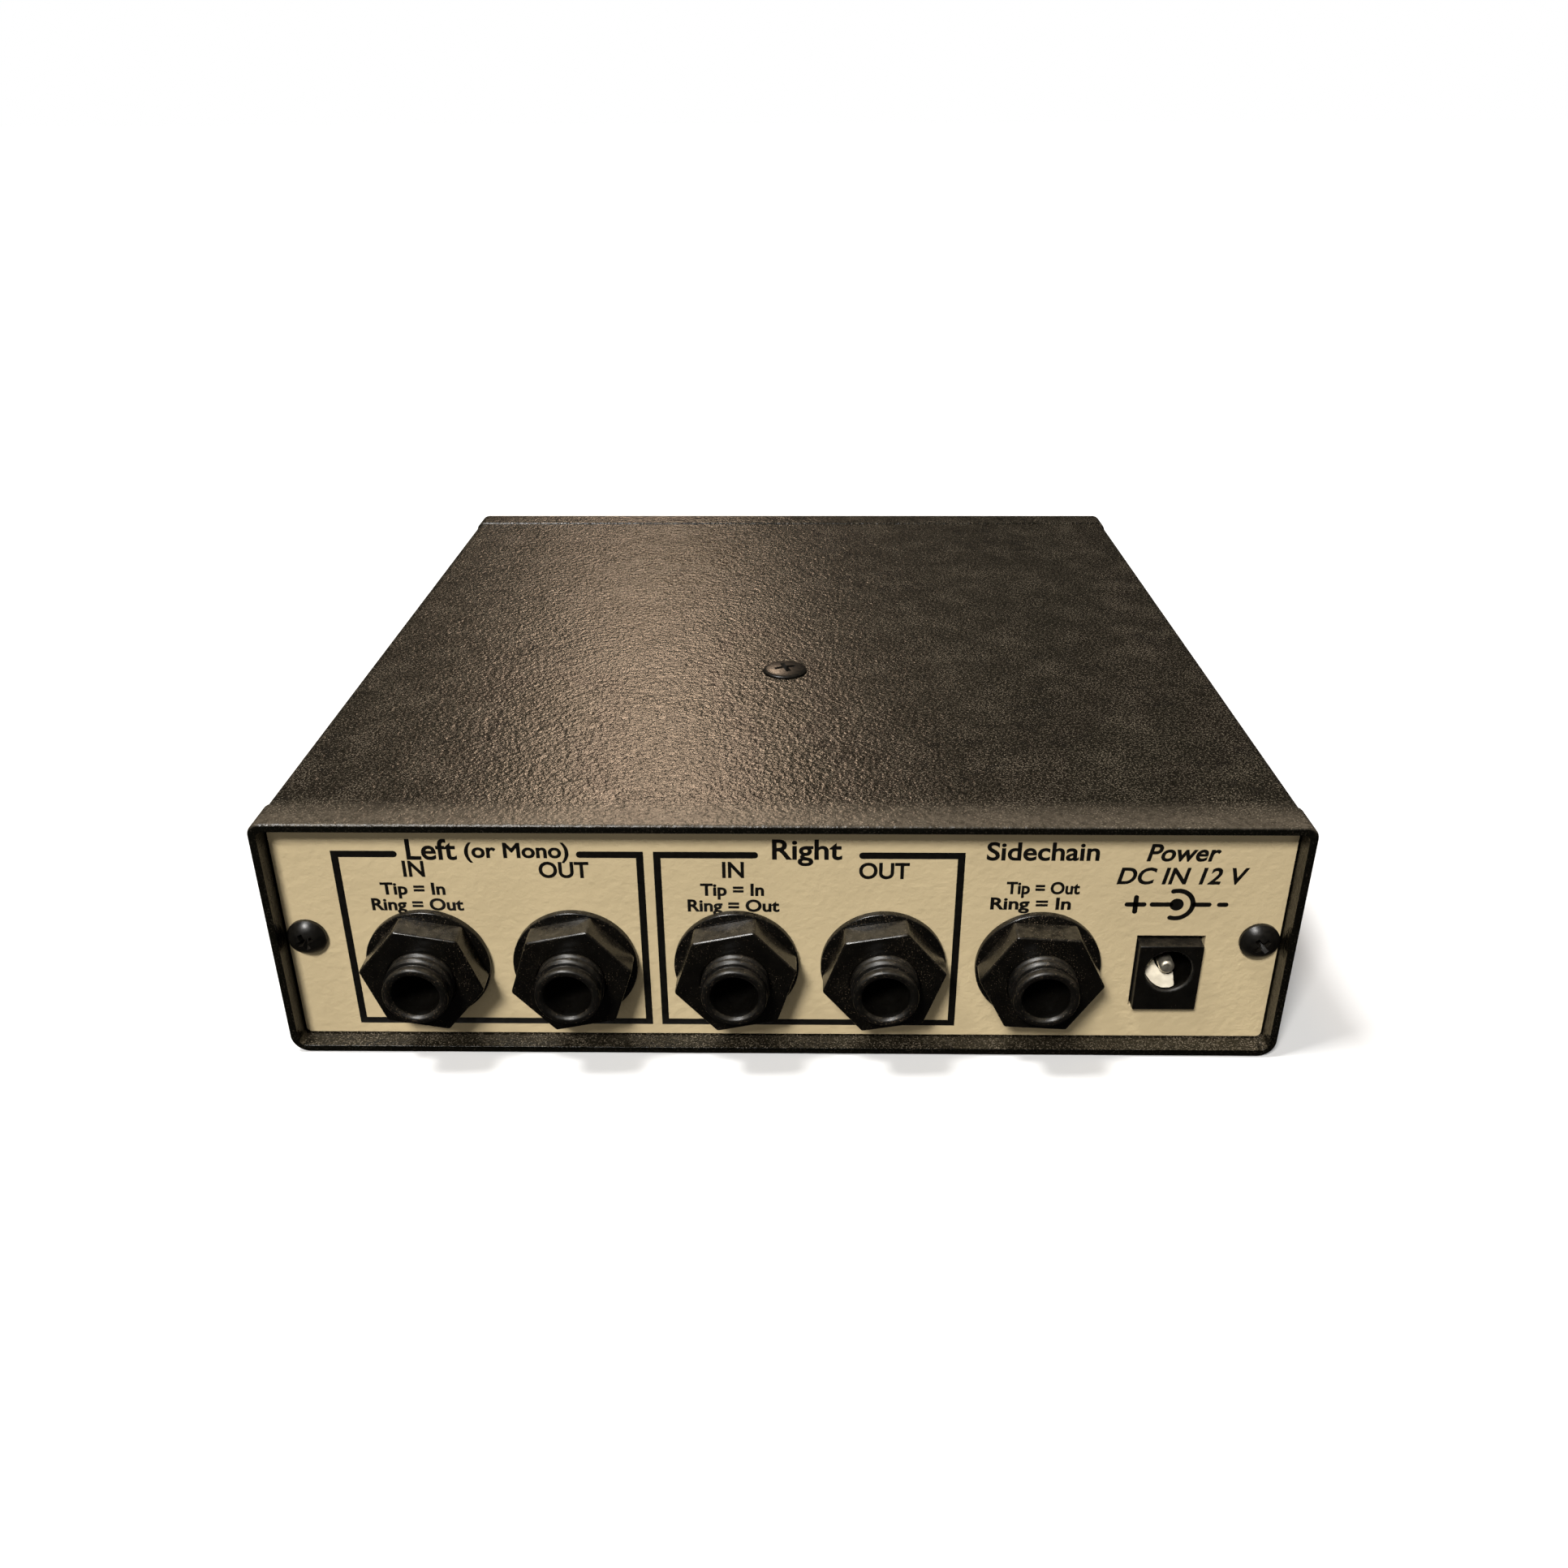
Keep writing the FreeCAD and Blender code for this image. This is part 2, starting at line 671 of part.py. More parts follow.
nuts = []
washers = []
for index, jack_x in enumerate(JACKS):
    shell = fuse([
        block(jack_x, "jack_body_width", REAR_PANEL_BACK, BODY_BACK, "board_top", "board_top + jack_body_height"),
        rod("jack_nose", f"{NOSE_TIP} + jack_collar_length", f"{REAR_PANEL_BACK} + 1", jack_x, "jack_z"),
        rod("jack_collar", f"{NOSE_TIP} + jack_lip", REAR_PANEL_BACK, jack_x, "jack_z"),
        taper("jack_collar - jack_lip", "jack_collar", NOSE_TIP, f"{NOSE_TIP} + jack_lip", jack_x, "jack_z"),
    ])
    slot = "jack_slot_width"
    leg_slot = f"({jack_x} + jack_bore + 0.9)"
    openings = [
        rod("jack_bore", f"{NOSE_TIP} - 1", BORE_END, jack_x, "jack_z"),
        taper("jack_bore + jack_lip", "jack_bore", NOSE_TIP, f"{NOSE_TIP} + jack_lip", jack_x, "jack_z"),
        block(
            jack_x, slot, f"{SLEEVE_SPRING_Y} - 2", f"{TIP_SPRING_Y} + 3.2",
            "board_top - 1", "jack_z + jack_slot_reach",
        ),
        box(
            (jack_x, f"{RING_SPRING_Y} + 1.2", "board_top - 1"),
            (f"{leg_slot} + leg_side", f"{TIP_SPRING_Y} + 3.2", "jack_z + jack_slot_reach"),
        ),
    ]
    node(cut(shell, openings), f"jack_{index + 1}_housing")
    node(fuse([
        contact(jack_x, TIP_SPRING_Y, True),
        contact(jack_x, RING_SPRING_Y, True),
        contact(jack_x, SLEEVE_SPRING_Y, False),
    ]), f"jack_{index + 1}_contacts")

    washer = rod("washer_radius", JACK_NUT_FACE, REAR_PANEL_FACE, jack_x, "jack_z")
    washers.append(cut(washer, [rod("nut_bore + 0.1", REAR, FRONT, jack_x, "jack_z")]))
    nut = along_y(
        hexagon("nut_flats", "nut_height"), jack_x, f"{JACK_NUT_FACE} - nut_height", "jack_z",
        JACK_NUT_TURNS[index],
    )
    nuts.append(cut(nut, [rod("nut_bore", NOSE_TIP, REAR_PANEL_FACE, jack_x, "jack_z")]))

node(fuse(nuts), "jack_nuts")
node(fuse(washers), "jack_washers")

# ---------------------------------------------------------------------------
# Power socket.

POWER_FACE = f"({REAR_PANEL_FACE} - power_face)"
POWER_FLOOR = f"({POWER_FACE} + power_bore_depth)"
housing = block("power_x", "power_width", POWER_FACE, f"{POWER_FACE} + power_depth", "board_top", "power_top")
node(cut(housing, [
    rod("power_bore", f"{POWER_FACE} - 1", POWER_FLOOR, "power_x", "power_z"),
    rod("power_pin + 0.2", POWER_FLOOR, f"{POWER_FACE} + power_depth + 1", "power_x", "power_z"),
    box(
        ("power_x - power_bore + 0.6", f"{POWER_FACE} + 1.8", "board_top - 1"),
        ("power_x + 0.6", f"{POWER_FLOOR} - 0.3", "power_z - 1.6"),
    ),
]), "power_jack_housing")

pin_tip = f"({POWER_FACE} + power_pin_inset)"
pin_nose = doc.addObject("Part::Sphere", "PinNose")
bind(pin_nose, {
    "Radius": "power_pin",
    "Placement.Base.x": "power_x",
    "Placement.Base.y": f"{pin_tip} + power_pin",
    "Placement.Base.z": "power_z",
})
pin_leg_y = f"({POWER_FACE} + power_depth + 0.4)"
node(fuse([
    rod("power_pin", f"{pin_tip} + power_pin", POWER_FLOOR, "power_x", "power_z"),
    rod("power_pin + 0.2", POWER_FLOOR, f"{POWER_FACE} + power_depth", "power_x", "power_z"),
    pin_nose,
    box(
        ("power_x - 1", f"{POWER_FACE} + power_depth", f"{BOARD_UNDERSIDE} - leg_below"),
        ("power_x + 1", f"{POWER_FACE} + power_depth + 0.8", "power_z + 1"),
    ),
]), "power_jack_pin")
LEG_HOLES.append(("power_x", pin_leg_y, "1.2"))

leaf_y = f"({POWER_FACE} + 6.4)"
node(fuse([
    box(
        ("power_x - 2.4", f"{POWER_FACE} + 2", "power_z - 2.95"),
        ("power_x + 0.4", f"{POWER_FLOOR} - 0.6", "power_z - 2.95 + power_leaf"),
    ),
    box(
        ("power_x - 1.6", f"{leaf_y} - 0.4", f"{BOARD_UNDERSIDE} - leg_below"),
        ("power_x - 0.4", f"{leaf_y} + 0.4", "power_z - 2.95 + power_leaf / 2"),
    ),
]), "power_jack_spring")
LEG_HOLES.append(("power_x - 1", leaf_y, "0.85"))

# ---------------------------------------------------------------------------
# Rotary controls: housing with a threaded bush, a flatted shaft that turns in it, a knob.

POT_BACK = f"({FRONT_PANEL_BACK} - pot_depth)"
BUSH_END = f"({FRONT_PANEL_BACK} + bush_length)"
KNOB_BACK = f"({FRONT_PANEL_FACE} + knob_back_gap)"
SHAFT_END = f"({KNOB_TIP} - knob_wall)"
ROTOR_START = f"({FRONT_PANEL_BACK} - 1.2 - rotor_gap - rotor_length)"
ROTOR_END = f"({FRONT_PANEL_BACK} - 1.2 - rotor_gap)"

pot_nuts = []
pot_washers = []
for index, name in enumerate(KNOBS):
    x = f"(knob_first_x - {index} * knob_pitch)"
    shell = fuse([
        block(x, "pot_width", POT_BACK, FRONT_PANEL_BACK, "board_top", "board_top + pot_height"),
        rod("bush_radius", f"{FRONT_PANEL_BACK} - 0.5", BUSH_END, x, "knob_z"),
    ])
    node(cut(shell, [
        rod("shaft_radius + shaft_fit", ROTOR_END, f"{BUSH_END} + 1", x, "knob_z"),
        rod(
            "rotor_radius + rotor_gap", f"{ROTOR_START} - rotor_gap", f"{ROTOR_END} + rotor_gap", x, "knob_z",
        ),
    ]), f"{name}_pot_housing")

    shaft = fuse([
        rod("shaft_radius", ROTOR_END, SHAFT_END, x, "knob_z"),
        rod("rotor_radius", ROTOR_START, ROTOR_END, x, "knob_z"),
    ])
    flat_start = f"{KNOB_BACK} + knob_recess_depth"
    node(cut(shaft, [
        block(x, "4 * shaft_radius", flat_start, KNOB_TIP, "knob_z - 2 * shaft_radius", "knob_z - shaft_flat"),
    ]), f"{name}_shaft")

    grip = taper("knob_radius", "knob_nose", KNOB_BACK, KNOB_TIP, x, "knob_z")
    socket = cut(
        rod("shaft_radius + 0.02", KNOB_BACK, SHAFT_END, x, "knob_z"),
        [block(
            x, "4 * shaft_radius", KNOB_BACK, KNOB_TIP,
            "knob_z - 2 * shaft_radius", "knob_z - shaft_flat - 0.02",
        )],
    )
    node(cut(grip, [
        socket,
        rod("knob_recess", f"{KNOB_BACK} - 1", f"{KNOB_BACK} + knob_recess_depth", x, "knob_z"),
        block(x, "knob_mark", f"{KNOB_TIP} - 0.4", f"{KNOB_TIP} + 1", "knob_z + 1.5", "knob_z + knob_radius"),
    ]), f"{name}_knob")

    washer = rod(
        "pot_washer_radius", FRONT_PANEL_FACE, f"{FRONT_PANEL_FACE} + pot_washer_thickness", x, "knob_z",
    )
    pot_washers.append(cut(washer, [rod("bush_radius + 0.1", REAR, FRONT, x, "knob_z")]))
    nut = along_y(
        hexagon("pot_nut_flats", "pot_nut_height"), x, f"{FRONT_PANEL_FACE} + pot_washer_thickness", "knob_z",
    )
    pot_nuts.append(cut(nut, [rod("bush_radius + 0.05", REAR, KNOB_TIP, x, "knob_z")]))

node(fuse(pot_nuts), "pot_nuts")
node(fuse(pot_washers), "pot_washers")

# ---------------------------------------------------------------------------
# Push switches: housing on the board, plunger sliding in it, square cap through the panel.

SWITCH_FRONT = f"({FRONT_PANEL_BACK} - switch_front_gap)"
CAP_END = f"({FRONT_PANEL_FACE} + button_proud)"
for index, name in enumerate(BUTTONS):
    x = f"(button_first_x + {index} * button_pitch)"
    base = block(
        x, "switch_side", f"{SWITCH_FRONT} - switch_depth", SWITCH_FRONT,
        "board_top", "button_z + switch_side / 2",
    )
    slot = "(plunger_side / 2 + plunger_fit)"
    node(cut(base, [
        block(
            x, f"2 * {slot}", f"{SWITCH_FRONT} - switch_depth + 1", f"{SWITCH_FRONT} + 1",
            f"button_z - {slot}", f"button_z + {slot}",
        ),
    ]), f"{name}_switch_housing")

    half = "(plunger_side / 2)"
    node(block(
        x, "plunger_side", f"{SWITCH_FRONT} - switch_depth + 1.5 + button_travel", f"{FRONT_PANEL_BACK} + 1",
        f"button_z - {half}", f"button_z + {half}",
    ), f"{name}_plunger")

    side = "(button_side / 2)"
    lip = "(button_side / 2 + button_flange)"
    cap = fuse([
        block(x, "button_side", f"{FRONT_PANEL_BACK} - 1.2", CAP_END, f"button_z - {side}", f"button_z + {side}"),
        block(
            x, f"2 * {lip}", f"{FRONT_PANEL_BACK} - 1.2", f"{FRONT_PANEL_BACK} - 0.2",
            f"button_z - {lip}", f"button_z + {lip}",
        ),
    ])
    node(cut(cap, [
        block(
            x, "plunger_side + 0.04", f"{FRONT_PANEL_BACK} - 2", f"{FRONT_PANEL_BACK} + 1",
            f"button_z - {half} - 0.02", f"button_z + {half} + 0.02",
        ),
    ]), f"{name}_cap")

# ---------------------------------------------------------------------------
# Lights: round lenses through the panel, each on two bent legs.


def light(x, z, bend_y):
    back = f"({FRONT_PANEL_BACK} - light_back)"
    dome = bind(doc.addObject("Part::Sphere", "LensTip"), {
        "Radius": "light_radius",
        "Placement.Base.x": x,
        "Placement.Base.y": f"{FRONT_PANEL_FACE} + light_proud - light_radius",
        "Placement.Base.z": z,
    })
    lens = fuse([
        rod("light_radius", back, f"{FRONT_PANEL_FACE} + light_proud - light_radius", x, z),
        rod("light_flange", back, f"{back} + 1", x, z),
        dome,
    ])
    wires = []
    for side in (-1, 1):
        leg_x = f"({x} + {side} * leg_spread)"
        wires.append(fuse([
            block(leg_x, "leg_wire", bend_y, back, f"{z} - leg_wire / 2", f"{z} + leg_wire / 2"),
            block(
                leg_x, "leg_wire", bend_y, f"{bend_y} + leg_wire",
                f"{BOARD_UNDERSIDE} - leg_below", f"{z} + leg_wire / 2",
            ),
        ]))
        LEG_HOLES.append((leg_x, f"{bend_y} + leg_wire / 2", "leg_wire"))
    return lens, wires


meter = [
    light(f"(meter_first_x + {i} * meter_pitch)", "meter_z", f"({POT_BACK} - 1.5)")
    for i in range(METER_LIGHTS)
]
status = [
    light(f"(button_first_x + {i} * button_pitch)", "status_z", f"({SWITCH_FRONT} - switch_depth - 1.5)")
    for i in range(len(BUTTONS))
]
node(fuse([lens for lens, wires in meter]), "meter_lights")
node(fuse([lens for lens, wires in status]), "status_lights")
node(fuse([wire for lens, wires in meter + status for wire in wires]), "light_legs")

# ---------------------------------------------------------------------------
# Parts standing on the board.

chips = []
for x, y in (("-34", "-14"), ("-34", "6"), ("24", "6")):
    bottom = "(board_top + chip_lift)"
    shapes = [box(
        (f"{x} - chip_length / 2", f"{y} - chip_width / 2", bottom),
        (f"{x} + chip_length / 2", f"{y} + chip_width / 2", f"{bottom} + chip_height"),
    )]
    for pin in range(7):
        pin_x = f"({x} + {pin - 3} * chip_pitch)"
        shapes.append(box(
            (f"{pin_x} - 0.3", f"{y} - chip_width / 2 - 0.6", "board_top"),
            (f"{pin_x} + 0.3", f"{y} + chip_width / 2 + 0.6", f"{bottom} + 1.2"),
        ))
    chips.append(fuse(shapes))
node(fuse(chips), "chips")

node(fuse([
    fuse([
        post("can_radius", "board_top", "board_top + can_height", f"{x}", f"{y}"),
        post("can_radius - 0.4", "board_top + can_height - 0.5", "board_top + can_height + 0.3", f"{x}", f"{y}"),
    ])
    for x in (20, 30, 40) for y in (-26, -14)
]), "capacitors")

tab_x = "52"
tab_y = "-30"
tab = box(
    (f"{tab_x} - regulator_width / 2", f"{tab_y} + 2.4", "board_top + 3"),
    (f"{tab_x} + regulator_width / 2", f"{tab_y} + 3.7", "board_top + 3 + regulator_height"),
)
slab = box(
    (f"{tab_x} - regulator_width / 2", f"{tab_y} - 0.8", "board_top + 3"),
    (f"{tab_x} + regulator_width / 2", f"{tab_y} + 2.4", "board_top + 12"),
)
tab_legs = [
    block(f"({tab_x} + {offset} * chip_pitch)", "0.8", f"{tab_y}", f"{tab_y} + 0.6", "board_top", "board_top + 3")
    for offset in (-1, 0, 1)
]
node(cut(
    fuse([tab, slab] + tab_legs),
    [rod("1.8", f"{tab_y}", f"{tab_y} + 6", tab_x, "board_top + regulator_height")],
), "regulator")

# ---------------------------------------------------------------------------
# Circuit board, drawn last because every leg above needs its hole.

board = new_body("main_board")
plate = sketch_on(board, "XY_Plane", BOARD_UNDERSIDE)
half_width = "(case_width / 2 - wall_side - board_gap)"
half_depth = f"({FRONT_PANEL_BACK} - board_gap)"
rectangle(plate, f"-{half_width}", half_width, f"-{half_depth}", half_depth)
circle(plate, "0", "pillar_y", "top_screw_shank + 0.15")
for hole_x, hole_y, radius in LEG_HOLES:
    circle(plate, hole_x, hole_y, radius)
pad(board, plate, "board_thickness")

doc.recompute()
for feature in doc.Objects:
    if "Invalid" in feature.State or "Error" in feature.State:
        raise RuntimeError(f"{feature.Name} failed to build")
for feature in NODES:
    shape = feature.Shape
    if shape.isNull() or not shape.isValid():
        raise RuntimeError(f"{feature.Label} has no valid shape")
    shape.exportStep(f"parts/{feature.Label}.step")
    print(f"{feature.Label}: {len(shape.Solids)} solid(s), {shape.Volume:.1f} mm3")
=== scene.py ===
import json
import math

import bmesh
import bpy
from mathutils import Matrix, Vector


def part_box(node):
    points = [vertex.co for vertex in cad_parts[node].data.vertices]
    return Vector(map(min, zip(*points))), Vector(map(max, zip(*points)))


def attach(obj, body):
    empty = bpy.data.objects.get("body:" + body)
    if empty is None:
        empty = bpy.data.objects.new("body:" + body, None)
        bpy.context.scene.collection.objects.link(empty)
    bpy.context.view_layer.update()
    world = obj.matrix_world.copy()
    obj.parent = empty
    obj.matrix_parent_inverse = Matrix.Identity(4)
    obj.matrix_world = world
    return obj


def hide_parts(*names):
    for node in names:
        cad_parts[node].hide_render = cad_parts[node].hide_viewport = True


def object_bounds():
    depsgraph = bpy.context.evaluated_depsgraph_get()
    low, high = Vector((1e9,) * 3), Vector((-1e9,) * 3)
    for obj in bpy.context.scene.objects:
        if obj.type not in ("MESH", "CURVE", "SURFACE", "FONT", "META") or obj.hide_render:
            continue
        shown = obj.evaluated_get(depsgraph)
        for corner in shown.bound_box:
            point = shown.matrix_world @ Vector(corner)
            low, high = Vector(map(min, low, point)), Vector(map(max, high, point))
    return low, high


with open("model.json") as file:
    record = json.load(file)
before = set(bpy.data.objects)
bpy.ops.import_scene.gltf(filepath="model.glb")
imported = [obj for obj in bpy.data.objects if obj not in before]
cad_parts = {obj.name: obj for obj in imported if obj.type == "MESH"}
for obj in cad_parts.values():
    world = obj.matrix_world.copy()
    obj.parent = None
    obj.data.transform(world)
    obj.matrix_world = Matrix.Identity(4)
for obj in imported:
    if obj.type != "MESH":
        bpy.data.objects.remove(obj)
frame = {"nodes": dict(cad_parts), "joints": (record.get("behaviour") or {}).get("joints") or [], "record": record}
cad_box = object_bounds()
nodes = frame["nodes"]

# Lengths below are millimetres; meshes are scaled to metres when they are placed.
MM = 0.001

# ---------------------------------------------------------------------------
# Faces of the object. A face's matrix takes local (across, up, outward) to the object's frame.

BORE_DEPTH = 32.0
END_BAND_RISE = 0.25

REAR_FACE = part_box("rear_panel")[0].y / MM
FRONT_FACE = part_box("front_panel")[1].y / MM
NOSE_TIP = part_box("jack_1_housing")[0].y / MM
BORE_END = NOSE_TIP + BORE_DEPTH
CASE_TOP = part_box("case_sleeve")[1].z / MM - END_BAND_RISE
MOUNTS = {mount["name"]: Vector(mount["pos_m"]) / MM for mount in frame["record"]["mounts"]}
KNOB_JOINTS = {
    joint["name"]: Vector(joint["pos_m"]) / MM
    for joint in frame["joints"]
    if joint["type"] == "hinge"
}

REAR = Matrix(((1, 0, 0, 0), (0, 0, -1, 0), (0, 1, 0, 0), (0, 0, 0, 1)))
FRONT = Matrix(((-1, 0, 0, 0), (0, 0, 1, 0), (0, 1, 0, 0), (0, 0, 0, 1)))


def on_rear(x=0.0, z=0.0, out=0.0):
    """Local origin on the rear panel's face."""
    return Matrix.Translation((x, REAR_FACE - out, z)) @ REAR


def on_front(x=0.0, z=0.0):
    """Local origin on the front panel's face."""
    return Matrix.Translation((x, FRONT_FACE, z)) @ FRONT


def on_top(x, y):
    """Local origin on the top of the case, between its raised bands."""
    return Matrix.Translation((x, y, CASE_TOP))


# ---------------------------------------------------------------------------
# Materials. Every one is built from nodes on object coordinates.


class Surface:
    """A Principled material with short calls for the nodes that feed it."""

    def __init__(self, name, **values):
        self.material = bpy.data.materials.new(name)
        self.material.use_nodes = True
        self.tree = self.material.node_tree
        self.shader = self.tree.nodes["Principled BSDF"]
        coordinates = self.tree.nodes.new("ShaderNodeTexCoord")
        self.place = coordinates.outputs["Object"]
        self.facing = coordinates.outputs["Normal"]
        self.normal = None
        for key, value in values.items():
            self.shader.inputs[key.replace("_", " ")].default_value = value

    def link(self, source, target):
        self.tree.links.new(source, target)

    def stretched(self, x, y, z):
        """Object coordinates scaled along each axis."""
        mapping = self.tree.nodes.new("ShaderNodeMapping")
        mapping.inputs["Scale"].default_value = (x, y, z)
        self.link(self.place, mapping.inputs["Vector"])
        return mapping.outputs["Vector"]

    def noise(self, size, detail=4.0, rough=0.55, place=None, twist=0.0):
        """Noise whose features are about size millimetres across."""
        node = self.tree.nodes.new("ShaderNodeTexNoise")
        node.inputs["Scale"].default_value = 1.0 / (size * MM)
        node.inputs["Detail"].default_value = detail
        node.inputs["Roughness"].default_value = rough
        node.inputs["Distortion"].default_value = twist
        self.link(place or self.place, node.inputs["Vector"])
        return node.outputs["Fac"]

    def cells(self, size, kind="SMOOTH_F1"):
        """Rounded cells about size millimetres across."""
        node = self.tree.nodes.new("ShaderNodeTexVoronoi")
        node.feature = kind
        node.inputs["Scale"].default_value = 1.0 / (size * MM)
        self.link(self.place, node.inputs["Vector"])
        return node.outputs["Distance"]

    def ramp(self, source, low, high, start=0.0, end=1.0):
        """Map source from low..high to start..end, held outside."""
        node = self.tree.nodes.new("ShaderNodeMapRange")
        node.inputs["From Min"].default_value = low
        node.inputs["From Max"].default_value = high
        node.inputs["To Min"].default_value = start
        node.inputs["To Max"].default_value = end
        self.link(source, node.inputs["Value"])
        return node.outputs["Result"]

    def maths(self, kind, first, second):
        """One sum on two values, each a number or a node's output."""
        node = self.tree.nodes.new("ShaderNodeMath")
        node.operation = kind
        for index, item in enumerate((first, second)):
            if isinstance(item, (int, float)):
                node.inputs[index].default_value = item
            else:
                self.link(item, node.inputs[index])
        return node.outputs["Value"]

    def blend(self, factor, first, second):
        """Colour between first and second, each a colour or a node's output."""
        node = self.tree.nodes.new("ShaderNodeMix")
        node.data_type = "RGBA"
        self.link(factor, node.inputs["Factor"])
        for key, item in (("A", first), ("B", second)):
            socket = next(s for s in node.inputs if s.name == key and s.type == "RGBA")
            if isinstance(item, tuple):
                socket.default_value = (*item, 1.0)
            else:
                self.link(item, socket)
        return next(s for s in node.outputs if s.type == "RGBA")

    def along(self, axis):
        """Position on one object axis, in metres."""
        node = self.tree.nodes.new("ShaderNodeSeparateXYZ")
        self.link(self.place, node.inputs["Vector"])
        return node.outputs[axis]

    def facing_up(self, low, high):
        """0 on walls and undersides rising to 1 on faces that look up."""
        node = self.tree.nodes.new("ShaderNodeSeparateXYZ")
        self.link(self.facing, node.inputs["Vector"])
        return self.ramp(node.outputs["Z"], low, high)

    def soften_edges(self, radius):
        """Round the look of sharp edges by radius millimetres."""
        node = self.tree.nodes.new("ShaderNodeBevel")
        node.samples = 6
        node.inputs["Radius"].default_value = radius * MM
        self.normal = node.outputs["Normal"]
        self.link(self.normal, self.shader.inputs["Normal"])

    def bump(self, height, depth, strength=1.0):
        """Relief of depth millimetres, laid over any relief set before."""
        node = self.tree.nodes.new("ShaderNodeBump")
        node.inputs["Distance"].default_value = depth * MM
        node.inputs["Strength"].default_value = strength
        self.link(height, node.inputs["Height"])
        if self.normal:
            self.link(self.normal, node.inputs["Normal"])
        self.normal = node.outputs["Normal"]
        self.link(self.normal, self.shader.inputs["Normal"])

    def colour(self, source):
        self.link(source, self.shader.inputs["Base Color"])

    def roughness(self, source):
        self.link(source, self.shader.inputs["Roughness"])

    def specks(self, size, amount):
        """Small scattered spots: 1 on a speck, 0 elsewhere."""
        spots = self.noise(size, detail=2.0, rough=0.5)
        patches = self.ramp(self.noise(size * 30.0), 0.4, 0.65, 0.0, 0.06)
        return self.ramp(self.maths("ADD", spots, patches), 1.0 - amount, 1.03 - amount)


def case_plastic():
    """Black textured case: pebbled grain, flat blotches, dust specks on what faces up, tops lighter than the
    walls, painted glints, and dust with a painted highlight on the band by the socket panel.
    """
    side_black = (0.0022, 0.0020, 0.0012)
    top_black = (0.0050, 0.0042, 0.0026)
    worn_black = (0.0100, 0.0083, 0.0053)
    blotch_black = (0.0070, 0.0060, 0.0042)
    glint_grey = (0.060, 0.050, 0.036)
    band_dust_and_highlight = (0.070, 0.057, 0.041)
    dust_grey = (0.20, 0.165, 0.12)
    look = Surface("case_plastic", IOR=1.34)
    look.soften_edges(0.15)
    broad = look.noise(22.0, detail=3.0)
    blotch = look.ramp(look.noise(3.0, detail=3.0, rough=0.6, twist=0.4), 0.54, 0.62)
    blotch = look.maths("MULTIPLY", blotch, look.ramp(broad, 0.42, 0.56))
    up = look.facing_up(0.2, 0.9)
    # The band by the socket panel is lightened: partly dust and wear, partly a painted highlight where it would
    # catch the key light.
    rim = look.ramp(look.along("Y"), (REAR_FACE + 5.0) * MM, (REAR_FACE - 1.0) * MM)
    rim = look.maths("MULTIPLY", rim, look.ramp(look.along("Z"), 20.0 * MM, 30.0 * MM))
    rim = look.maths("MULTIPLY", rim, look.ramp(look.noise(1.2, detail=5.0), 0.34, 0.66, 0.4, 1.0))
    top = look.blend(look.ramp(look.noise(0.8), 0.35, 0.7), top_black, worn_black)
    # Painted glints: grey flecks on the tops stand for the sparkle of the grain.
    glints = look.ramp(look.noise(0.42, detail=2.0), 0.53, 0.68, 0.0, 0.9)
    top = look.blend(glints, top, glint_grey)
    top = look.blend(blotch, top, blotch_black)
    # Painted highlight, with dust, laid on the band by the socket panel.
    top = look.blend(rim, top, band_dust_and_highlight)
    shade = look.blend(up, side_black, top)
    dust = look.maths("MULTIPLY", look.specks(0.24, 0.37), look.ramp(up, 0.0, 1.0, 0.08, 0.6))
    look.colour(look.blend(dust, shade, dust_grey))
    base = look.ramp(look.noise(0.9, detail=5.0), 0.3, 0.7, 0.20, 0.26)
    look.roughness(look.maths("ADD", base, look.maths("MULTIPLY", rim, 0.10)))
    grain = look.maths("ADD", look.noise(0.45, detail=2.0), look.maths("MULTIPLY", look.cells(0.85), 0.9))
    calm = look.maths("SUBTRACT", 1.0, look.maths("MULTIPLY", blotch, 0.35))
    look.bump(look.maths("MULTIPLY", grain, calm), 0.085)
    return look.material


def panel_paint():
    """Cream powder coat with an orange peel."""
    look = Surface("panel_paint", IOR=1.5)
    look.soften_edges(0.12)
    tone = look.ramp(look.noise(14.0, detail=3.0), 0.3, 0.7)
    shade = look.blend(tone, (0.550, 0.442, 0.262), (0.595, 0.480, 0.286))
    grime = look.ramp(look.noise(1.1, detail=4.0), 0.62, 0.80, 0.0, 0.30)
    look.colour(look.blend(grime, shade, (0.44, 0.34, 0.20)))
    look.roughness(look.ramp(look.noise(2.0), 0.3, 0.7, 0.38, 0.50))
    look.bump(look.noise(1.0, detail=2.0, rough=0.5), 0.13)
    look.bump(look.noise(0.25, detail=2.0), 0.010)
    return look.material


def black_paint():
    """Black paint, used for the printed legends and the screws."""
    look = Surface("black_paint", IOR=1.36)
    tone = look.ramp(look.noise(0.8), 0.3, 0.7)
    shade = look.blend(tone, (0.0025, 0.0022, 0.0018), (0.0065, 0.0057, 0.0045))
    # Lighter patches on faces that look up: partly dust, partly a painted warm reflection on the screw heads.
    patches = look.ramp(look.noise(0.5, detail=5.0), 0.4, 0.7)
    dust = look.maths("MULTIPLY", look.facing_up(0.35, 0.95), patches)
    look.colour(look.blend(dust, shade, (0.016, 0.013, 0.009)))
    look.roughness(look.ramp(look.noise(0.6), 0.3, 0.7, 0.28, 0.38))
    look.bump(look.noise(0.35, detail=3.0), 0.010)
    return look.material


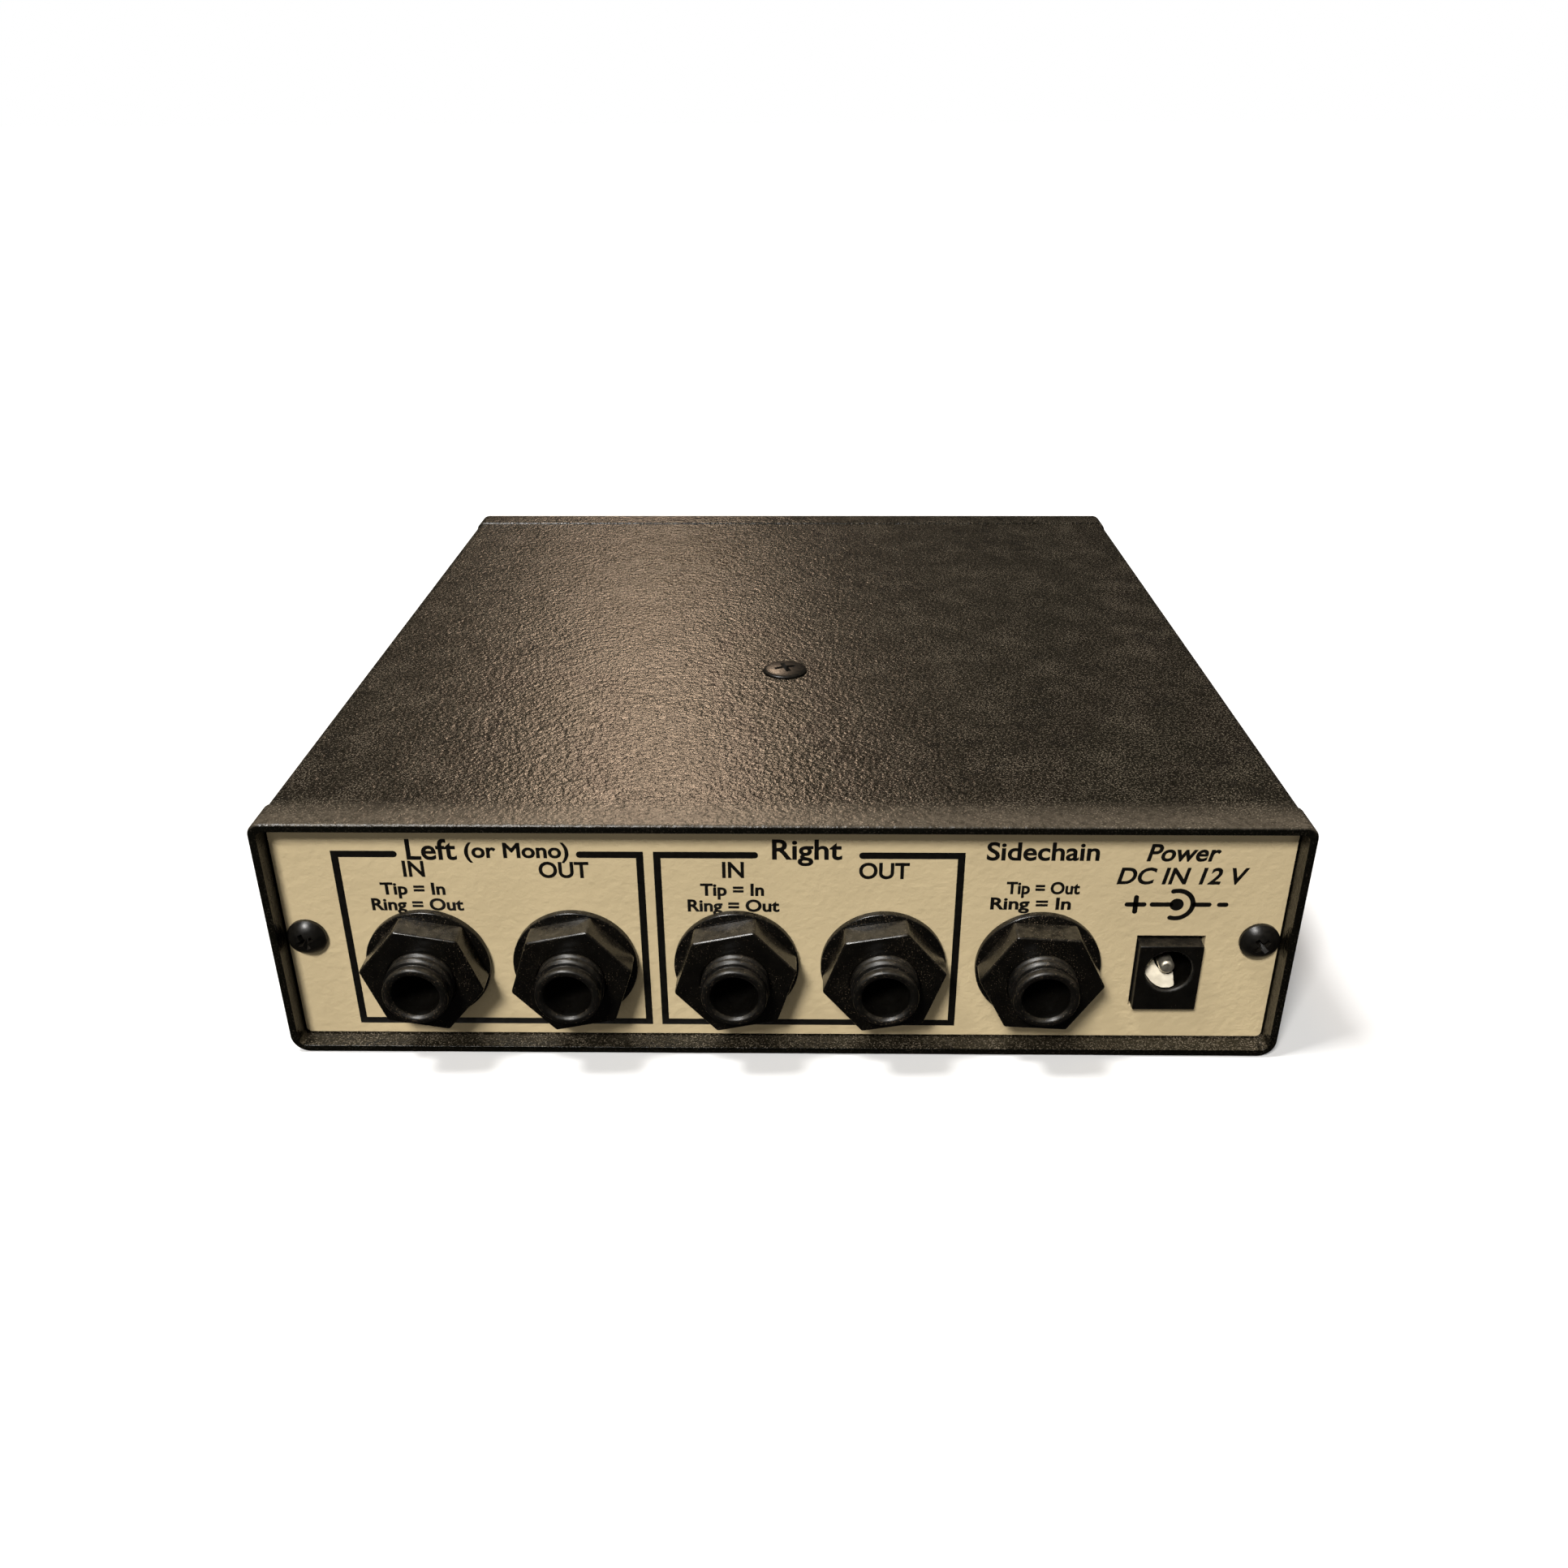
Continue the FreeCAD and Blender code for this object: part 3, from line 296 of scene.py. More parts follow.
def moulded_black(name, gloss, dust_amount, film_colour=(0.036, 0.030, 0.021)):
    """Black moulded plastic, dusty where it faces up, with handling marks."""
    look = Surface(name, IOR=1.42)
    look.soften_edges(0.05)
    tone = look.ramp(look.noise(2.4, detail=4.0), 0.3, 0.7)
    shade = look.blend(tone, (0.0014, 0.0012, 0.0009), (0.0035, 0.0030, 0.0022))
    film = look.ramp(look.noise(0.9, detail=6.0, rough=0.7), 0.40, 0.72, 0.15, 1.0)
    film = look.maths("MULTIPLY", film, look.facing_up(0.25, 0.95))
    shade = look.blend(film, shade, film_colour)
    dust = look.maths("MULTIPLY", look.specks(0.16, dust_amount), 0.6)
    look.colour(look.blend(dust, shade, (0.20, 0.15, 0.10)))
    look.roughness(look.ramp(look.noise(1.0, detail=5.0), 0.3, 0.75, gloss, gloss + 0.14))
    look.bump(look.noise(0.5, detail=4.0), 0.010)
    return look.material


def bare_metal(name, dark, light, rough, grain=(1.0, 1.0, 1.0)):
    """Plated or turned metal with fine directional marks."""
    look = Surface(name, Metallic=1.0)
    look.soften_edges(0.06)
    look.colour(look.blend(look.ramp(look.noise(1.6, detail=5.0), 0.3, 0.7), dark, light))
    marks = look.noise(0.25, detail=4.0, place=look.stretched(*grain))
    look.roughness(look.ramp(marks, 0.3, 0.7, rough, rough + 0.16))
    look.bump(marks, 0.006)
    return look.material


def circuit_board():
    """Green solder mask with faint copper tracks under it."""
    look = Surface("circuit_board", IOR=1.5)
    look.soften_edges(0.1)
    tracks = look.ramp(look.cells(4.0, kind="DISTANCE_TO_EDGE"), 0.06, 0.10)
    look.colour(look.blend(tracks, (0.035, 0.20, 0.085), (0.012, 0.085, 0.035)))
    look.roughness(look.ramp(look.noise(1.2), 0.3, 0.7, 0.28, 0.45))
    look.bump(tracks, 0.03, strength=-0.5)
    return look.material


def lens():
    """Tinted diffusing light lens."""
    look = Surface("light_lens", IOR=1.49)
    look.shader.inputs["Transmission Weight"].default_value = 0.35
    tone = look.ramp(look.noise(0.8), 0.3, 0.7)
    look.colour(look.blend(tone, (0.45, 0.03, 0.02), (0.66, 0.07, 0.04)))
    look.roughness(look.ramp(look.noise(0.5), 0.3, 0.7, 0.12, 0.24))
    look.bump(look.noise(0.4), 0.004)
    return look.material


def can_sleeve():
    """Dark blue shrunk sleeve."""
    look = Surface("capacitor_can", IOR=1.5)
    look.soften_edges(0.2)
    tone = look.ramp(look.noise(2.0), 0.3, 0.7)
    look.colour(look.blend(tone, (0.018, 0.022, 0.055), (0.030, 0.036, 0.085)))
    look.roughness(look.ramp(look.noise(0.9), 0.3, 0.7, 0.25, 0.40))
    look.bump(look.noise(0.7, place=look.stretched(1.0, 1.0, 0.15)), 0.010)
    return look.material


# bare_metal takes its dark and light colour, its roughness and how its marks are stretched;
# moulded_black takes its roughness and how much dust lies on it.
LOOKS = {
    "case_plastic": case_plastic(),
    "panel_paint": panel_paint(),
    "black_paint": black_paint(),
    "plated_brass": bare_metal(
        "plated_brass", (0.50, 0.46, 0.36), (0.66, 0.62, 0.50), 0.22, (1.0, 1.0, 6.0),
    ),
    "plated_steel": bare_metal("plated_steel", (0.56, 0.53, 0.48), (0.78, 0.75, 0.70), 0.26),
    "circuit_board": circuit_board(),
    "jack_plastic": moulded_black("jack_plastic", 0.18, 0.30),
    "nose_plastic": moulded_black("nose_plastic", 0.31, 0.31),
    # Painted shade for the inside of the bores: the same black without the lighter film on faces that look up.
    "shaded_bore": moulded_black("shaded_bore", 0.25, 0.22, (0.0015, 0.0012, 0.0008)),
    "socket_plastic": moulded_black("socket_plastic", 0.42, 0.28),
    "light_lens": lens(),
    "chip_plastic": moulded_black("chip_plastic", 0.50, 0.25),
    "capacitor_can": can_sleeve(),
    "socket_leaf": bare_metal("socket_leaf", (0.62, 0.56, 0.44), (0.86, 0.80, 0.66), 0.42),
    "contact_metal": bare_metal(
        "contact_metal", (0.50, 0.46, 0.36), (0.70, 0.66, 0.56), 0.26, (1.0, 4.0, 1.0),
    ),
    "pot_metal": bare_metal("pot_metal", (0.42, 0.41, 0.38), (0.58, 0.57, 0.54), 0.32),
    "shaft_metal": bare_metal(
        "shaft_metal", (0.50, 0.50, 0.48), (0.68, 0.67, 0.65), 0.24, (1.0, 8.0, 1.0),
    ),
    "knob_plastic": moulded_black("knob_plastic", 0.38, 0.27),
    "switch_plastic": moulded_black("switch_plastic", 0.44, 0.25),
    "button_plastic": moulded_black("button_plastic", 0.30, 0.27),
}

SLOTS = {part["node"]: part["material_slot"] for part in frame["record"]["subparts"]}
for name, cad in nodes.items():
    for holder in cad.material_slots:
        holder.material = LOOKS[SLOTS[name]]

# ---------------------------------------------------------------------------
# Mesh helpers. Shapes are drawn in a face's local millimetres and finished as pieces placed on it.

MERGE_DISTANCE = 1e-5
ON_AXIS = 1e-6
SHARP_ANGLE = 35.0
BEVEL_ANGLE = 30.0


def finish_piece(mesh, name, place, body, slot, stands_for=(), sharp=SHARP_ANGLE):
    """Close a bmesh into an object in metres, riding on a body."""
    bmesh.ops.remove_doubles(mesh, verts=mesh.verts, dist=MERGE_DISTANCE)
    bmesh.ops.recalc_face_normals(mesh, faces=mesh.faces)
    data = bpy.data.meshes.new(name)
    mesh.to_mesh(data)
    mesh.free()
    data.transform(Matrix.Scale(MM, 4) @ place)
    data.update()
    data.polygons.foreach_set("use_smooth", [True] * len(data.polygons))
    data.set_sharp_from_angle(angle=math.radians(sharp))
    data.materials.append(LOOKS[slot])
    piece = bpy.data.objects.new(name, data)
    bpy.context.scene.collection.objects.link(piece)
    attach(piece, body)
    if stands_for:
        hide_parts(*stands_for)
    return piece


def bevel(piece, width, segments=3):
    """Round a piece's edges by width millimetres."""
    modifier = piece.modifiers.new("edges", "BEVEL")
    modifier.width = width * MM
    modifier.segments = segments
    modifier.limit_method = "ANGLE"
    modifier.angle_limit = math.radians(BEVEL_ANGLE)


def lathe(profile, steps=96, closed=False, shape=None):
    """Spin (radius, height) points about local Z. shape may change a point's radius by its angle."""
    mesh = bmesh.new()
    rings = []
    for radius, height in profile:
        if radius < ON_AXIS:
            rings.append([mesh.verts.new((0.0, 0.0, height))])
            continue
        ring = []
        for step in range(steps):
            angle = 2.0 * math.pi * step / steps
            reach = shape(radius, height, angle) if shape else radius
            ring.append(mesh.verts.new((reach * math.cos(angle), reach * math.sin(angle), height)))
        rings.append(ring)
    pairs = list(zip(rings, rings[1:]))
    if closed:
        pairs.append((rings[-1], rings[0]))
    for first, second in pairs:
        for step in range(steps):
            following = (step + 1) % steps
            corners = [
                first[step % len(first)], first[following % len(first)],
                second[following % len(second)], second[step % len(second)],
            ]
            distinct = list(dict.fromkeys(corners))
            if len(distinct) > 2:
                mesh.faces.new(distinct)
    return mesh


def rounded_rim(radius, front, rounding, steps=6):
    """Profile points that turn from a wall at radius to a flat front."""
    points = []
    for step in range(1, steps + 1):
        turn = math.pi / 2 * step / steps
        reach = radius - rounding * (1 - math.cos(turn))
        points.append((reach, front - rounding + rounding * math.sin(turn)))
    return points


def slab(left, right, bottom, top, back, front):
    """Block between local limits, the raw form of housings and caps."""
    mesh = bmesh.new()
    centre = Vector(((left + right) / 2, (bottom + top) / 2, (back + front) / 2))
    size = Vector((right - left, top - bottom, front - back))
    bmesh.ops.create_cube(mesh, size=1.0)
    bmesh.ops.scale(mesh, vec=size, verts=mesh.verts)
    bmesh.ops.translate(mesh, vec=centre, verts=mesh.verts)
    return mesh


def cross_cutter(span, width, depth):
    """Tapered cross recess, open upwards from local z = 0 and pointed at the bottom."""
    mesh = bmesh.new()
    half, side = span / 2, width / 2
    outline = [
        (half, side), (side, side), (side, half), (-side, half), (-side, side), (-half, side),
        (-half, -side), (-side, -side), (-side, -half), (side, -half), (side, -side), (half, -side),
    ]
    levels = []
    for height, scale in ((1.0, 1.15), (0.0, 1.0), (-depth, 0.45)):
        levels.append([mesh.verts.new((x * scale, y * scale, height)) for x, y in outline])
    count = len(outline)
    for low, high in zip(levels, levels[1:]):
        for i in range(count):
            mesh.faces.new((low[i], low[(i + 1) % count], high[(i + 1) % count], high[i]))
    mesh.faces.new(levels[0])
    tip = mesh.verts.new((0.0, 0.0, -depth - 0.35))
    for i in range(count):
        mesh.faces.new((levels[-1][i], levels[-1][(i + 1) % count], tip))
    return mesh


def carve(piece, cutter_mesh, place):
    """Cut a shape out of a piece and keep only the result."""
    bmesh.ops.recalc_face_normals(cutter_mesh, faces=cutter_mesh.faces)
    data = bpy.data.meshes.new("cutter")
    cutter_mesh.to_mesh(data)
    cutter_mesh.free()
    data.transform(Matrix.Scale(MM, 4) @ place)
    cutter = bpy.data.objects.new("cutter", data)
    bpy.context.scene.collection.objects.link(cutter)
    modifier = piece.modifiers.new("cut", "BOOLEAN")
    modifier.object = cutter
    modifier.operation = "DIFFERENCE"
    modifier.solver = "EXACT"
    depsgraph = bpy.context.evaluated_depsgraph_get()
    result = bpy.data.meshes.new_from_object(piece.evaluated_get(depsgraph))
    piece.modifiers.remove(modifier)
    old = piece.data
    piece.data = result
    result.name = old.name
    bpy.data.meshes.remove(old)
    bpy.data.objects.remove(cutter)
    bpy.data.meshes.remove(data)
    result.set_sharp_from_angle(angle=math.radians(SHARP_ANGLE))


def darken_bore(piece, x, z, radius):
    """Give the faces inside a hole along Y the darker bore material, a painted shade for the hole's inside."""
    piece.data.materials.append(LOOKS["shaded_bore"])
    for face in piece.data.polygons:
        reach = math.hypot(face.center.x / MM - x, face.center.z / MM - z)
        face.material_index = int(reach < radius + 0.02)


# ---------------------------------------------------------------------------
# Quarter-inch sockets: threaded nose, body on the board, washer and hexagonal nut.

JACK_X = [MOUNTS[f"jack_{number}"].x for number in range(1, 6)]
JACK_Z = MOUNTS["jack_1"].z
NUT_TURNS = [10.0, -12.0, -12.0, -10.0, 3.0]
NOSE_RADIUS = 4.7
COLLAR_RADIUS = 4.45
BORE_RADIUS = 3.25
BORE_FLOOR = 0.4
LIP_ROUNDING = 0.42
THREAD_PITCH = 1.25
THREAD_DEPTH = 0.34
THREAD_FROM = 1.0
THREAD_STEP = 0.08
TIP_OUT = REAR_FACE - NOSE_TIP
COLLAR_FROM = TIP_OUT - 1.5
WASHER_OUTER = 8.7
WASHER_INNER = 4.8
WASHER_THICKNESS = 1.0
NUT_FLATS = 14.9
NUT_HOLE = 4.72
NUT_HEIGHT = 3.9
BODY_FROM = -1.6
BODY_HOLE = 4.6


def thread(radius, height, angle):
    """Helical groove on the nose, ending at the collar."""
    if radius < NOSE_RADIUS - 0.01 or height > COLLAR_FROM:
        return radius
    phase = height / THREAD_PITCH + angle / (2.0 * math.pi)
    groove = (0.5 - 0.5 * math.cos(2.0 * math.pi * phase)) ** 2
    return radius - THREAD_DEPTH * groove


def nose_profile():
    """Profile of the nose from the back of its bore, out over the thread and collar, and down the bore."""
    points = [(NOSE_RADIUS, REAR_FACE - BORE_END - BORE_FLOOR)]
    height = THREAD_FROM
    while height < COLLAR_FROM - 0.05:
        points.append((NOSE_RADIUS, height))
        height += THREAD_STEP
    for height, radius in (
        (COLLAR_FROM, 4.25), (COLLAR_FROM + 0.18, 4.2), (COLLAR_FROM + 0.30, 4.32),
        (COLLAR_FROM + 0.46, COLLAR_RADIUS), (TIP_OUT - LIP_ROUNDING, COLLAR_RADIUS),
    ):
        points.append((radius, height))
    points += rounded_rim(COLLAR_RADIUS, TIP_OUT, LIP_ROUNDING)
    points += [
        (3.72, TIP_OUT), (3.60, TIP_OUT - 0.04), (3.34, TIP_OUT - 0.30), (BORE_RADIUS, TIP_OUT - 0.48),
        (BORE_RADIUS, REAR_FACE - BORE_END), (0.0, REAR_FACE - BORE_END),
        (0.0, REAR_FACE - BORE_END - BORE_FLOOR),
    ]
    return points


def hex_nut(flats, hole, height, steps=48):
    """Hexagonal ring standing on local z = 0, a corner at angle 0."""
    mesh = bmesh.new()
    rings = []
    for level in (0.0, height):
        outer, inner = [], []
        for step in range(steps):
            angle = 2.0 * math.pi * step / steps
            lean = (angle % (math.pi / 3)) - math.pi / 6
            reach = flats / 2 / math.cos(lean)
            outer.append(mesh.verts.new((reach * math.cos(angle), reach * math.sin(angle), level)))
            inner.append(mesh.verts.new((hole * math.cos(angle), hole * math.sin(angle), level)))
        rings += [outer, inner]
    low_outer, low_inner, high_outer, high_inner = rings
    for i in range(steps):
        j = (i + 1) % steps
        mesh.faces.new((low_outer[i], low_outer[j], high_outer[j], high_outer[i]))
        mesh.faces.new((low_inner[i], low_inner[j], high_inner[j], high_inner[i]))
        mesh.faces.new((high_outer[i], high_outer[j], high_inner[j], high_inner[i]))
        mesh.faces.new((low_outer[i], low_outer[j], low_inner[j], low_inner[i]))
    return mesh


def washer(outer, inner, thickness, edge=0.16):
    """Flat ring standing on local z = 0 with broken edges."""
    return lathe([
        (inner, 0.0), (outer - edge, 0.0), (outer, edge * 0.6), (outer, thickness - edge),
        (outer - edge * 0.4, thickness - edge * 0.3), (outer - edge, thickness), (inner, thickness),
    ], closed=True)


for number, (jack_x, nut_turn) in enumerate(zip(JACK_X, NUT_TURNS), start=1):
    housing = f"jack_{number}_housing"
    place = on_rear(jack_x, JACK_Z)
    low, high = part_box(housing)
    nose = finish_piece(
        lathe(nose_profile(), steps=120, shape=thread), f"jack_{number}_nose", place, "unit",
        "jack_plastic", [housing], sharp=50.0,
    )
    nose.data.materials[0] = LOOKS["nose_plastic"]
    darken_bore(nose, jack_x, JACK_Z, BORE_RADIUS)
    block = slab(
        low.x / MM - jack_x, high.x / MM - jack_x, low.z / MM - JACK_Z, high.z / MM - JACK_Z,
        REAR_FACE - high.y / MM, BODY_FROM,
    )
    block = finish_piece(block, f"jack_{number}_body", place, "unit", "jack_plastic", [housing])
    carve(block, lathe([(0.0, -40.0), (BODY_HOLE, -40.0), (BODY_HOLE, 2.0), (0.0, 2.0)]), place)
    bevel(block, 0.4)
    finish_piece(
        washer(WASHER_OUTER, WASHER_INNER, WASHER_THICKNESS), f"jack_{number}_washer", place,
        "unit", "jack_plastic", ["jack_washers"],
    )
    seat = on_rear(jack_x, JACK_Z, WASHER_THICKNESS) @ Matrix.Rotation(math.radians(-nut_turn), 4, "Z")
    nut = finish_piece(
        hex_nut(NUT_FLATS, NUT_HOLE, NUT_HEIGHT), f"jack_{number}_nut", seat,
        "unit", "jack_plastic", ["jack_nuts"],
    )
    bevel(nut, 0.30, segments=4)

# ---------------------------------------------------------------------------
# Screws.


def pan_head(radius, rim, dome, shank, length):
    """Profile of a domed head seated on local z = 0, with its shank below."""
    bulge = (radius ** 2 + dome ** 2) / (2 * dome)
    points = [
        (0.0, -length), (shank * 0.6, -length), (shank, -length + 0.8), (shank, 0.0),
        (radius - 0.1, 0.0), (radius, 0.12), (radius, rim),
    ]
    for step in range(1, 13):
        reach = radius * (1 - step / 12)
        points.append((reach, rim + math.sqrt(bulge ** 2 - reach ** 2) - (bulge - dome)))
    return points


SCREW_HEAD = 2.75
SCREW_TURNS = {"left": 24.0, "right": 40.0}
RECESS_FROM = 1.82
TOP_SCREW_TURN = 20.0
TOP_RECESS_FROM = 0.66

for end, place_on, node in (
    ("rear", on_rear, "rear_panel_screws"),
    ("front", on_front, "front_panel_screws"),
):
    low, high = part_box(node)
    reach = high.x / MM - SCREW_HEAD
    for side, screw_x in (("left", -reach), ("right", reach)):
        place = place_on(screw_x, (low.z + high.z) / 2 / MM)
        head = pan_head(SCREW_HEAD, rim=0.6, dome=1.3, shank=1.4, length=9.0)
        screw = finish_piece(
            lathe(head, steps=64), f"{end}_screw_{side}", place, "unit", "black_paint", [node],
        )
        turn = Matrix.Rotation(math.radians(SCREW_TURNS[side]), 4, "Z")
        recess = place @ Matrix.Translation((0, 0, RECESS_FROM)) @ turn
        carve(screw, cross_cutter(span=2.7, width=0.72, depth=1.1), recess)

low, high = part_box("top_screw")
top_place = on_top((low.x + high.x) / 2 / MM, (low.y + high.y) / 2 / MM)
top_screw = finish_piece(
    lathe([
        (0.0, -11.0), (1.75, -11.0), (1.75, -1.7), (3.5, -0.05), (3.55, 0.0), (3.55, 0.24), (3.47, 0.33),
        (3.0, 0.45), (2.4, 0.55), (1.6, 0.64), (0.8, 0.69), (0.0, 0.70),
    ], steps=96),
    "top_screw_head", top_place, "unit", "black_paint", ["top_screw"],
)
turn = Matrix.Rotation(math.radians(TOP_SCREW_TURN), 4, "Z")
recess = top_place @ Matrix.Translation((0, 0, TOP_RECESS_FROM)) @ turn
carve(top_screw, cross_cutter(span=3.7, width=0.85, depth=1.3), recess)

# ---------------------------------------------------------------------------
# Power socket.

POWER_X = MOUNTS["power_pin"].x
POWER_Z = MOUNTS["power_pin"].z
socket_low, socket_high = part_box("power_jack_housing")
SOCKET_OUT = REAR_FACE - socket_low.y / MM
SOCKET_BORE = 3.2
SOCKET_MOUTH = 3.5
SOCKET_DEPTH = 9.6
socket_place = on_rear(POWER_X, POWER_Z)
socket_body = finish_piece(
    slab(
        socket_low.x / MM - POWER_X, socket_high.x / MM - POWER_X,
        socket_low.z / MM - POWER_Z, socket_high.z / MM - POWER_Z,
        REAR_FACE - socket_high.y / MM, SOCKET_OUT,
    ),
    "power_socket_body", socket_place, "unit", "socket_plastic", ["power_jack_housing"],
)
carve(socket_body, lathe([
    (0.0, SOCKET_OUT - SOCKET_DEPTH), (SOCKET_BORE, SOCKET_OUT - SOCKET_DEPTH),
    (SOCKET_BORE, SOCKET_OUT - 0.25), (SOCKET_MOUTH, SOCKET_OUT + 0.05),
    (SOCKET_MOUTH, SOCKET_OUT + 1.0), (0.0, SOCKET_OUT + 1.0),
]), socket_place)
darken_bore(socket_body, POWER_X, POWER_Z, SOCKET_BORE)
bevel(socket_body, 0.22)

PIN_RADIUS = 1.05
PIN_ROUNDING = 0.5
PIN_TIP = SOCKET_OUT - 0.9
PIN_SHOULDER = 1.24
PIN_ROOT = SOCKET_OUT - 14.3
pin_points = [
    (0.0, PIN_ROOT), (PIN_SHOULDER, PIN_ROOT), (PIN_SHOULDER, SOCKET_OUT - SOCKET_DEPTH),
    (PIN_RADIUS, SOCKET_OUT - 9.5), (PIN_RADIUS, PIN_TIP - PIN_ROUNDING),
]
pin_points += rounded_rim(PIN_RADIUS, PIN_TIP, PIN_ROUNDING, steps=8)
pin_points.append((0.0, PIN_TIP))
pin = finish_piece(
    lathe(pin_points, steps=48), "power_socket_pin", socket_place,
    "unit", "plated_steel", ["power_jack_pin"],
)
pin.data.materials[0] = LOOKS["socket_leaf"]


LEAF_BOTTOM = -3.08
LEAF_RISE = 2.88
LEAF_WALL = 3.12
LEAF_PIN_GAP = 1.36
LEAF_SHEET = 0.1
RAMP_STEPS = 16
TAIL_STEPS = 4
ACROSS_STEPS = 10


def spring_leaf():
    """Sheet-metal contact: a ramp climbing the lower left of the bore, then a flat tail to its end."""
    rows = []
    for step in range(RAMP_STEPS + TAIL_STEPS + 1):
        rise = min(step / RAMP_STEPS, 1.0)
        tail = max(step - RAMP_STEPS, 0)
        height = LEAF_BOTTOM + LEAF_RISE * rise
        out = SOCKET_OUT - 0.6 - 2.9 * rise - 1.3 * tail
        left = -math.sqrt(LEAF_WALL ** 2 - height ** 2)
        right = min(1.25, -left)
        if height > -1.35:
            right = -math.sqrt(LEAF_PIN_GAP ** 2 - height ** 2)
        row = []
        for i in range(ACROSS_STEPS + 1):
            row.append((left + (right - left) * i / ACROSS_STEPS, height, out))
        rows.append(row)
    mesh = bmesh.new()
    front = [[mesh.verts.new(point) for point in row] for row in rows]
    back = [[mesh.verts.new((x, y - LEAF_SHEET, z - LEAF_SHEET)) for x, y, z in row] for row in rows]
    for grid in (front, back):
        for first, second in zip(grid, grid[1:]):
            for i in range(ACROSS_STEPS):
                mesh.faces.new((first[i], first[i + 1], second[i + 1], second[i]))
    rims = []
    for grid in (front, back):
        right_side = [row[-1] for row in grid[1:]]
        left_side = [row[0] for row in grid[-2:0:-1]]
        rims.append(grid[0] + right_side + grid[-1][-2::-1] + left_side)
    count = len(rims[0])
    for i in range(count):
        j = (i + 1) % count
        mesh.faces.new((rims[0][i], rims[0][j], rims[1][j], rims[1][i]))
    return mesh


leaf = finish_piece(
    spring_leaf(), "power_socket_leaf", socket_place, "unit", "plated_steel", ["power_jack_spring"],
)
leaf.data.materials[0] = LOOKS["socket_leaf"]

# ---------------------------------------------------------------------------
# Printed legends: flat ink laid on the panels.

INK = 0.03


def ribbon(points, width):
    """Outline of a bent stripe with round ends, as one polygon."""
    half = width / 2
    path = [Vector(point) for point in points]
    left, right = [], []
    for i, point in enumerate(path):
        before = (point - path[i - 1]).normalized() if i > 0 else None
        after = (path[i + 1] - point).normalized() if i < len(path) - 1 else None
        along = ((before or after) + (after or before)).normalized()
        across = Vector((-along.y, along.x))
        edge = before or after
        reach = half / max(0.3, across.dot(Vector((-edge.y, edge.x))))
        left.append(point + across * reach)
        right.append(point - across * reach)
    outline = list(left)
    outline += round_end(path[-1], path[-1] - path[-2], half)
    outline += right[::-1]
    outline += round_end(path[0], path[0] - path[1], half)
    return outline


def round_end(point, direction, radius, steps=6):
    """Half circle from the left of a stripe's end to its right."""
    start = math.atan2(direction.y, direction.x) + math.pi / 2
    turns = [start - math.pi * step / steps for step in range(1, steps)]
    return [point + Vector((math.cos(turn), math.sin(turn))) * radius for turn in turns]


def disc(x, y, radius, steps=28):
    """Outline of a filled circle."""
    turns = [2 * math.pi * step / steps for step in range(steps)]
    return [Vector((x + radius * math.cos(turn), y + radius * math.sin(turn))) for turn in turns]


def arc(x, y, radius, start, end, steps=24):
    """Points along part of a circle, from start to end in degrees."""
    turns = [math.radians(start + (end - start) * step / steps) for step in range(steps + 1)]
    return [(x + radius * math.cos(turn), y + radius * math.sin(turn)) for turn in turns]


def add_outline(mesh, outline):
    """Raise one flat polygon to the ink's thickness."""
    face = mesh.faces.new([mesh.verts.new((point.x, point.y, 0.0)) for point in outline])
    lifted = bmesh.ops.extrude_face_region(mesh, geom=[face])
    verts = [item for item in lifted["geom"] if isinstance(item, bmesh.types.BMVert)]
    bmesh.ops.translate(mesh, vec=(0.0, 0.0, INK), verts=verts)


def text_mesh(words, slant=0.0, weight=0.0):
    """Solid mesh of one word or line at size 1, in the built-in font, its strokes widened by weight."""
    curve = bpy.data.curves.new("words", "FONT")
    curve.body = words
    curve.size = 1.0
    curve.shear = slant
    curve.extrude = 0.01
    curve.bevel_depth = weight
    curve.bevel_resolution = 1
    curve.resolution_u = 5
    holder = bpy.data.objects.new("words", curve)
    bpy.context.scene.collection.objects.link(holder)
    depsgraph = bpy.context.evaluated_depsgraph_get()
    data = bpy.data.meshes.new_from_object(holder.evaluated_get(depsgraph))
    bpy.data.objects.remove(holder)
    bpy.data.curves.remove(curve)
    return data


def span(data, axis):
    """Lowest and highest place of a mesh on one axis."""
    values = [vertex.co[axis] for vertex in data.vertices]
    return min(values), max(values)


capital = text_mesh("H")
CAP_HEIGHT = span(capital, 1)[1]
bpy.data.meshes.remove(capital)

WIDEST_STROKE = 0.032
STROKE_FOR_CAP = 0.06


def add_text(mesh, words, left, right, baseline, cap, slant=0.0):
    """Set words between left and right on a baseline, with capitals cap high and strokes of one weight."""
    data = text_mesh(words, slant, min(WIDEST_STROKE, STROKE_FOR_CAP / cap))
    start, end = span(data, 0)
    back, front = span(data, 2)
    stretch = (right - left) / (end - start)
    rise = cap / CAP_HEIGHT
    data.transform(
        Matrix.Translation((left, baseline, 0.0))
        @ Matrix.Diagonal((stretch, rise, INK / (front - back), 1.0))
        @ Matrix.Translation((-start, 0.0, -back))
    )
    mesh.from_mesh(data)
    bpy.data.meshes.remove(data)


FRAME_LINE = 0.98
TITLE_LINE_Z = 31.08
FRAME_BOTTOM_Z = 3.47
rear_ink = bmesh.new()

